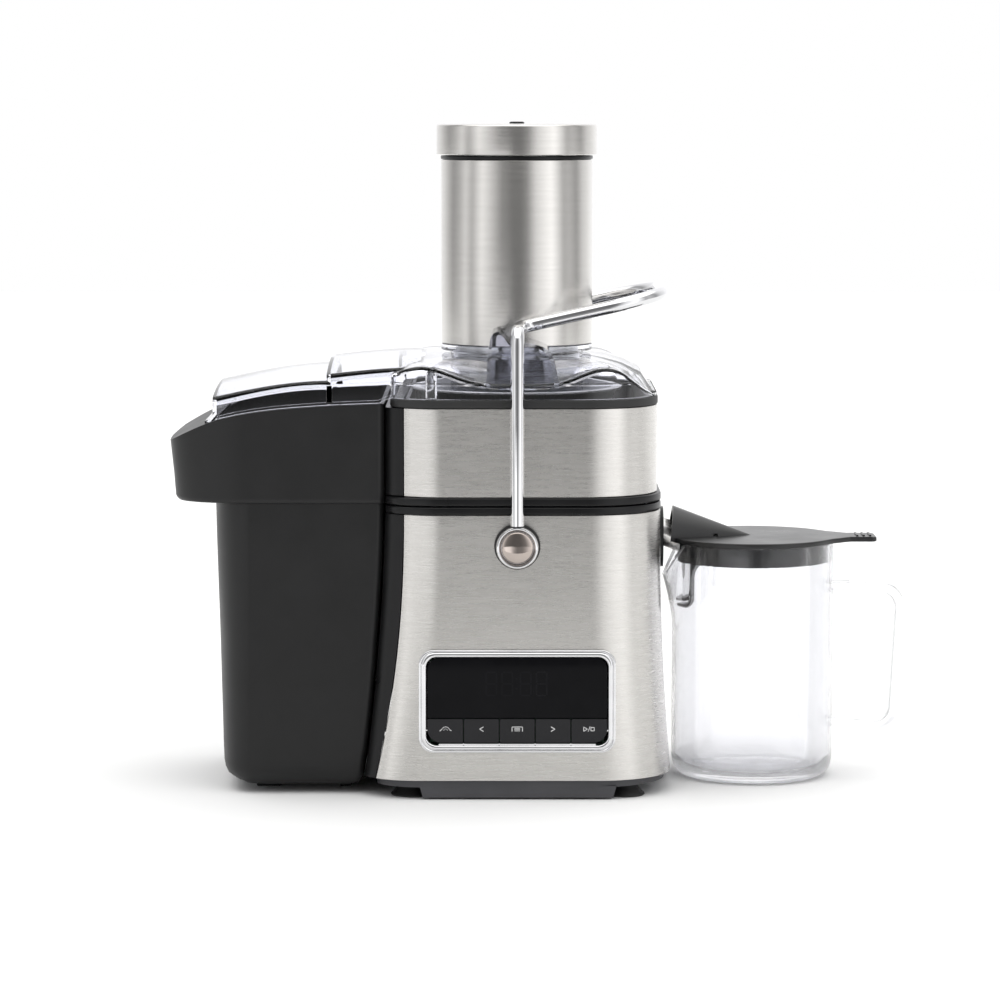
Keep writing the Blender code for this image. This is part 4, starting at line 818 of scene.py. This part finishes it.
def saddle(name, side, inset):
    """The seat that the bail snaps over: a high rounded stop and a low shoulder."""
    outline = [(-18.5, 247), (-17.8, 262), (-16.6, 274), (-15.6, 277.6), (-14.2, 279.6), (-12.0, 280.6),
               (-9.8, 279.9), (-8.2, 278), (-6.6, 275.4), (-5.2, 274.2), (-3.5, 273.9), (4, 273.9), (8, 273.6),
               (11.5, 272.8), (15, 271.6), (17.8, 269.8), (20.0, 267.2), (21.6, 263.6), (23.2, 257),
               (24.8, 250), (25, 247)]
    middle = Vector((2.5, 255))
    points = []
    for x, z in outline:
        spoke = Vector((x, z)) - middle
        points.append(middle + spoke * (1 - inset / spoke.length))
    back = -41.5 if inset == 0 else -48.5
    front = -92.6 + inset
    drop = 8 if inset else 0
    rows = [[(p.x, side * y, p.y - (drop if p.y < 252 else 0)) for p in points] for y in (front, back)]
    return loft(name, rows, CLEAR)


def build_lid():
    lid = lid_dome("clear_lid", 0, 240.3)
    join(lid, channel_part("hood_low", -182, -110.8, 240.5, 250.5, 76, 0, 0, 5.0),
         channel_part("hood_high", -113.8, -58, 254.4, 258.5, 76, 0, 0, 6.0))
    corners = ((-78.5, 0), (78.5, 0), (78.5, 1.7), (-78.5, 1.7))
    places = [-186.5 + i * 4.5 for i in range(27)]
    join(lid, loft("flange", [[(x, y, hood_floor(x) + up) for y, up in corners] for x in places], CLEAR))
    wall, below = 2.3, 4
    cut(lid, lid_dome("hollow", wall, 238.3),
        channel_part("hollow_low", -182 + wall, -113.8, 240.5, 250.4, 76, wall, below, 5.0),
        channel_part("hollow_high", -113.8 + wall, -56, 254.4, 258.5, 76, wall, below, 6.0),
        block("link", (-119, -71, 225), (-106, 71, 247.5), CLEAR))
    post = [(0, 240.6), (3.4, 240.6), (3.4, 254), (2.9, 256), (1.6, 257.4), (0, 257.8)]
    for side in (-1, 1):
        join(lid, lathe("post", post, CLEAR, centre=(-51, side * 89.6), steps=40))
    for side in (1, -1):
        join(lid, saddle("saddle", side, 0))
    cut(lid, rod("room", 46.8, 268.2, 290, CLEAR, steps=128))
    tube = [(0, 224), (40.9, 224), (40.9, 264.7), (46.2, 264.7), (46.5, 265), (46.5, 268.1), (46.2, 268.4),
            (40.9, 268.4), (40.9, 380.7), (0, 380.7)]
    join(lid, lathe("tube", tube, CLEAR, steps=128))
    for side in (1, -1):
        cut(lid, saddle("saddle_hollow", side, 2.2))
    cut(lid, rod("bore", 38.4, 200, 400, CLEAR, steps=128))
    show(lid, "base", "clear_plastic", "lid", sharp=28)


# ---- pulp bin

def bin_plan(left, right, half_depth, slant, end_half, steps=14, corner=4.5):
    """Plan of the bin: tight corners at the right, slanting in from the crease to a rounded left end."""
    deeper, longer = half_depth - end_half, left - slant
    turns = [pi / 2 * i / steps for i in range(steps + 1)]
    points = arc(right - corner, half_depth - corner, corner, 0, 90, 8) + [(slant, half_depth)]
    points += [(slant + longer * sin(turn), end_half + deeper * cos(turn)) for turn in turns[1:]]
    points += [(left - 1.4 + 1.1 * (k / 4) ** 2 - 1.1, -end_half * 0.6 * k / 4) for k in (-4, -2, 0, 2, 4)]
    points += [(left - longer * (1 - cos(turn)), -end_half - deeper * sin(turn)) for turn in turns[:-1]]
    return points + [(slant, -half_depth)] + arc(right - corner, corner - half_depth, corner, 270, 360, 8)


def build_bin():
    slant, wall = -160, 2.4
    collar_right = -79.5
    # height, left end, right end and half depth, from the rounded foot to under the collar
    levels = [(4.5, -160, -99, 64), (5.4, -167, -96.5, 67), (7.5, -173, -94.6, 70.2), (10.5, -176, -93, 73),
              (14, -177.6, -92.4, 75), (18, -178.3, -92, 76), (30, -178.7, -90.3, 77), (45, -179, -88.6, 77.5),
              (66, -179.5, -86.4, 77.8), (90, -180, -84.6, 78), (112, -180.6, -82.9, 78.2),
              (135, -181.3, -81.4, 78.3), (157, -181.9, -80.5, 78.4), (178, -182.3, -79.9, 78.5)]
    body = stack("pulp_bin_shell", [
        (bin_plan(left, right, depth, slant if z > 5 else -150, 40 if z < 8 else 48), z)
        for z, left, right, depth in levels], DARK)
    collar = [(177.0, -203.5, 79.0), (177.4, -204.4, 79.7), (178.4, -205.4, 80.1), (180, -206.2, 80.25),
              (195, -207.4, 80.5), (214, -209.4, 80.8), (242, -211.6, 81.3)]
    outlines = [(bin_plan(left, collar_right, depth, -163, 52), z) for z, left, depth in collar]
    join(body, stack("collar", outlines, DARK))
    for x_low, x_high in ((-159, -144), (-108, -101)):
        for y in (34, -46):
            join(body, soften(block("foot", (x_low, y, 0), (x_high, y + 12, 6), DARK), 0.8, 2))
    above = [(-226 + 2.5 * i, rim_height(-226 + 2.5 * i)) for i in range(68)] + [(-56, 260), (-226, 260)]
    hollow = [(bin_plan(left + wall, right - wall, depth - wall, slant + wall / 2, 47), z + 0.2)
              for z, left, right, depth in levels[3:]]
    hollow.append((bin_plan(-179.5, collar_right - wall, 77.4, slant + wall / 2, 48), 250))
    grip = [(bin_plan(left, -186.5, depth, -187.5, 30, corner=0.3), z)
            for z, left, depth in ((170, -200.5, 44), (185, -202.5, 46), (204, -203.5, 46))]
    cut(body, extrude_xz("rim_cut", above, -120, 120, DARK), stack("bin_hollow", hollow, DARK),
        stack("grip", grip, DARK))
    show(body, "bin", "dark_plastic", "pulp_bin", sharp=35)


# ---- jug and its lid

JUG_X, JUG_RIM = 146.0, 145.7


def jug_point(turn, radius, height):
    """A point on the jug, whose wall leans out and dips to a pouring beak towards the spout."""
    y = radius * sin(turn)
    beak = 1 - smooth((abs(y) - 7) / 17) if cos(turn) < 0 else 0.0
    level = height if height < 90 else 90 + (height - 90) * (JUG_RIM - 20 * beak - 90) / (JUG_RIM - 90)
    swell = max((height - 95) / (JUG_RIM - 95), 0.0) ** 1.5 * beak * 6.2
    return (JUG_X + (radius + swell) * cos(turn), y, level)


def band(path, half_width, half_thickness):
    """A flat band with round edges swept along a path in the XZ plane."""
    sections = []
    for i, point in enumerate(path):
        along = (path[min(i + 1, len(path) - 1)] - path[max(i - 1, 0)]).normalized()
        normal = Vector((-along.z, 0, along.x))
        section = []
        for k in range(28):
            turn = 2 * pi * k / 28
            across = half_width * (abs(cos(turn)) ** 0.6) * (1 if cos(turn) >= 0 else -1)
            out = half_thickness * (abs(sin(turn)) ** 0.6) * (1 if sin(turn) >= 0 else -1)
            section.append(point + Vector((0, across, 0)) + normal * out)
        sections.append(section)
    return loft("handle", sections, JUG_CLEAR)


def build_jug():
    straight = [30, 60, 90, 100, 110, 119, 128, 137, 144.9]
    profile = [(36, 0.9), (37, 0.2), (38.5, 0.0), (43, 0.5), (45.6, 1.7), (47.6, 3.8), (48.9, 6.6),
               (49.6, 9.8), (49.9, 13)]
    profile += [(49.9, height) for height in straight] + [(49.5, 145.6), (48.7, 145.7), (47.8, 145.6)]
    profile += [(47.4, height) for height in reversed(straight)]
    profile += [(47.4, 14), (47.0, 11.4), (45.8, 9.0), (43.4, 7.0), (40, 6.0), (36, 5.6)]
    turns = [2 * pi * k / 128 for k in range(128)]
    jug = loft("jug_shell", [[jug_point(turn, *point) for turn in turns] for point in profile], JUG_CLEAR)
    path = fillet_path([(191, 0, 117.5), (238, 0, 117.5), (233, 0, 30), (191, 0, 34)], [13, 12], steps=12)
    join(jug, band(path, 7.5, 3.3), soften(block("web", (194, -2.2, 113), (206, 2.2, 142), JUG_CLEAR), 0.6, 2))
    inside = [(0, 5.5), (35.95, 5.55), (39.95, 6.0), (43.45, 7.1), (45.95, 9.4), (47.05, 12.0), (47.45, 14.6),
              (47.45, 160.6), (0, 160.6)]
    cut(jug, lathe("inside", inside, JUG_CLEAR, centre=(JUG_X, 0), steps=128))
    show(jug, "jug", "clear_plastic", "juice_jug", sharp=40)


def hood_lump(name, inset):
    """The half cone over the spout's end, or with an inset the hollow in it."""
    start, end = (94.4, 147) if inset == 0 else (90, 138)
    sections = []
    for i in range(17):
        x = start + (end - start) * i / 16
        radius = 19.8 * (149 - x) / (149 - 94.4) - inset
        radius = min(max(radius, 0.6), 19.8 - inset)
        section = []
        for k in range(33):
            turn = pi * k / 32
            lean = 0 if inset else 2.2 * sin(turn) * (1 - i / 16)
            section.append((x + lean, radius * cos(turn), 147.8 + radius * sin(turn)))
        bottom = 147.3 if inset == 0 else 147.1
        sections.append(section + [(x, -radius, bottom), (x, radius, bottom)])
    return loft(name, sections, LID_DARK)


def build_jug_lid():
    low, high = 146.3, 149.3
    outline = arc(JUG_X, 0, 52, 34, 326, 96)
    tab = [(193.8, -22.5), (199, -18), (203, -14), (206, -12), (219, -12), (220.6, -11.5), (221.6, -10.4),
           (222, -9)]
    outline += tab + [(x, -y) for x, y in reversed(tab)]
    levels = [(0.994, low), (1.0, low + 0.4), (1.0, high - 0.8), (0.996, high - 0.3), (0.986, high)]
    lid = stack("jug_cover", [([(JUG_X + (x - JUG_X) * share, y * share) for x, y in outline], z)
                              for share, z in levels], LID_DARK)
    wall = [(44.4, 134), (46.3, 134), (46.6, 134.4), (46.6, 147.3), (44.2, 147.3), (44.2, 134.3)]
    skirt = lathe("skirt", wall, LID_DARK, centre=(JUG_X, 0), steps=128, hollow=True)
    join(lid, skirt, hood_lump("hood", 0))
    for row in range(3):
        x = 209.5 + row * 4
        join(lid, soften(block("ridge", (x, -8, high - 0.5), (x + 1.4, 8, high + 0.9), LID_DARK), 0.4, 2))
    leg = [(107.4, 147), (107.4, 112), (106.9, 110.5), (105.6, 109.1), (103.6, 108.4), (97.2, 108.4),
           (97.2, 106.6), (104.2, 106.6), (106.6, 107.1), (108.4, 108.9), (109.4, 111.4), (109.6, 126),
           (110.1, 129), (111.5, 131.5), (113.5, 133.8), (116, 135.5), (116, 147)]
    for side in (-1, 1):
        y_low, y_high = sorted((side * 10.2, side * 23))
        join(lid, extrude_xz("leg", leg, y_low, y_high, LID_DARK))
    past_wall = [(46.8, 100), (62, 100), (62, 133.5), (46.8, 133.5)]
    trim = lathe("trim", past_wall, LID_DARK, centre=(JUG_X, 0), steps=128, hollow=True)
    slot = block("slot", (88, -9.9, 120), (124, 9.9, 151), LID_DARK)
    cut(lid, hood_lump("hood_hollow", 2.0), slot, trim)
    show(lid, "jug_cover", "dark_plastic", "jug_lid", sharp=40)


def build_filter():
    profile = [(12.4, 190), (15, 190), (15, 202.6), (45.5, 202.6), (47.2, 203.4), (48, 205), (61.5, 240.5),
               (64.6, 240.6), (65, 241), (65, 242), (64.6, 242.4), (60.2, 242.4), (46.4, 206), (44.6, 204.4),
               (4, 204.4), (4, 202.4), (12.4, 202.4)]
    basket = lathe("basket_shell", profile, BASKET, steps=128, hollow=True)
    show(basket, "spin_group", "brushed_steel", "filter_basket", even=False)


for build in (build_housing, build_bands, build_plinth, build_bezel, build_panel, build_bail, build_spout,
              build_chute, build_lid, build_bin, build_jug, build_jug_lid, build_filter):
    build()


# ---- stage, light and camera

FLOOR_FRONT = -0.65  # the table ends just in front of the picture, where the dark side of the room begins


def build_stage():
    bm = bmesh.new()
    corners = [(-5.0, FLOOR_FRONT), (5.0, FLOOR_FRONT), (5.0, 6.0), (-5.0, 6.0)]
    bm.faces.new([bm.verts.new((x, y, 0)) for x, y in corners])
    mesh = bpy.data.meshes.new("floor")
    bm.to_mesh(mesh)
    bm.free()
    made, tree, shader = new_material("floor_white")
    broad = object_noise(tree, (2, 2, 2), 2.0)
    tint(tree, broad, (0.86, 0.86, 0.86), (0.88, 0.88, 0.88), shader.inputs["Base Color"])
    shader.inputs["Roughness"].default_value = 0.9
    shader.inputs["Specular IOR Level"].default_value = 0.1
    mesh.materials.append(made)
    floor = bpy.data.objects.new("floor", mesh)
    bpy.context.scene.collection.objects.link(floor)


def math_node(tree, operation, first, second=None):
    made = node(tree, "Math", operation=operation)
    for socket, value in zip(made.inputs, (first, second)):
        if isinstance(value, (int, float)):
            socket.default_value = value
        elif value is not None:
            tree.links.new(value, socket)
    return made.outputs[0]


def azimuth_ramp(tree, share, stops):
    """Brightness round the room, from stops of (azimuth in degrees, value)."""
    ramp = node(tree, "ValToRGB")
    elements = ramp.color_ramp.elements
    for place, (angle, value) in enumerate(stops):
        at = (angle + 180) / 360
        stop = elements[place] if place < 2 else elements.new(at)
        stop.position = at
        stop.color = (value, value, value * 1.01, 1)
    tree.links.new(share, ramp.inputs["Fac"])
    return ramp.outputs["Color"]


def build_studio():
    """White room: soft boxes at both sides and overhead, and a dark side where the camera stands."""
    world = bpy.data.worlds.new("studio")
    bpy.context.scene.world = world
    world.use_nodes = True
    tree = world.node_tree
    tree.nodes.clear()
    where = node(tree, "TexCoord")
    axes = node(tree, "SeparateXYZ")
    tree.links.new(where.outputs["Generated"], axes.inputs["Vector"])
    forward = math_node(tree, "MULTIPLY", axes.outputs["Y"], -1.0)
    azimuth = math_node(tree, "ARCTAN2", axes.outputs["X"], forward)
    share = math_node(tree, "ADD", math_node(tree, "DIVIDE", azimuth, 2 * pi), 0.5)
    # (azimuth, brightness) round the room, at the height of the eye and below it
    level = [(-180, 1.15), (-142, 0.95), (-114, 0.42), (-100, 0.6), (-86, 1.0), (-73, 0.62), (-56, 1.3),
             (-38, 0.75), (-24, 0.32), (-8, 0.2), (6, 0.21), (16, 0.34), (30, 1.0), (55, 1.6), (64, 1.2),
             (76, 0.6), (88, 0.68), (104, 0.44), (120, 0.9), (146, 1.2), (180, 1.15)]
    below = [(-180, 1.0), (-142, 0.5), (-110, 0.16), (-74, 0.2), (-60, 0.6), (-44, 1.2), (-24, 2.0),
             (-12, 1.7), (-5, 0.6), (0, 0.36), (8, 0.38), (14, 0.62), (24, 1.15), (40, 1.45), (58, 1.55),
             (70, 1.0), (82, 0.6), (104, 0.28), (122, 0.4), (148, 1.3), (180, 1.1)]
    horizon = node(tree, "MapRange", {"From Min": -0.052, "From Max": -0.085})
    tree.links.new(axes.outputs["Z"], horizon.inputs["Value"])
    around = node(tree, "Mix", data_type="RGBA")
    tree.links.new(horizon.outputs["Result"], around.inputs["Factor"])
    for socket, stops in (("A", level), ("B", below)):
        tree.links.new(azimuth_ramp(tree, share, stops), around.inputs[socket])
    height = node(tree, "MapRange", {"From Min": 0.62, "From Max": 0.8}, interpolation_type="SMOOTHSTEP")
    tree.links.new(axes.outputs["Z"], height.inputs["Value"])
    mixed = node(tree, "Mix", data_type="RGBA")
    tree.links.new(height.outputs["Result"], mixed.inputs["Factor"])
    tree.links.new(around.outputs["Result"], mixed.inputs["A"])
    mixed.inputs["B"].default_value = (2.1, 2.1, 2.08, 1)
    room = node(tree, "Background")
    tree.links.new(mixed.outputs["Result"], room.inputs["Color"])
    backdrop = node(tree, "Background", {"Color": (1.0, 1.0, 1.0, 1)})
    rays = node(tree, "LightPath")
    choice = node(tree, "MixShader")
    tree.links.new(rays.outputs["Is Camera Ray"], choice.inputs["Fac"])
    tree.links.new(room.outputs["Background"], choice.inputs[1])
    tree.links.new(backdrop.outputs["Background"], choice.inputs[2])
    result = node(tree, "OutputWorld")
    tree.links.new(choice.outputs["Shader"], result.inputs["Surface"])
    bpy.context.scene.view_settings.view_transform = "Standard"


def build_camera():
    data = bpy.data.cameras.new("camera")
    data.lens = 139.7
    data.sensor_width = 36
    camera = bpy.data.objects.new("camera", data)
    bpy.context.scene.collection.objects.link(camera)
    camera.location = (AXIS_X - 10.3 * MM, -2.387, 0.418)
    camera.rotation_euler = (radians(90 - 5.91), 0, 0)
    bpy.context.scene.camera = camera


build_stage()
build_studio()
build_camera()
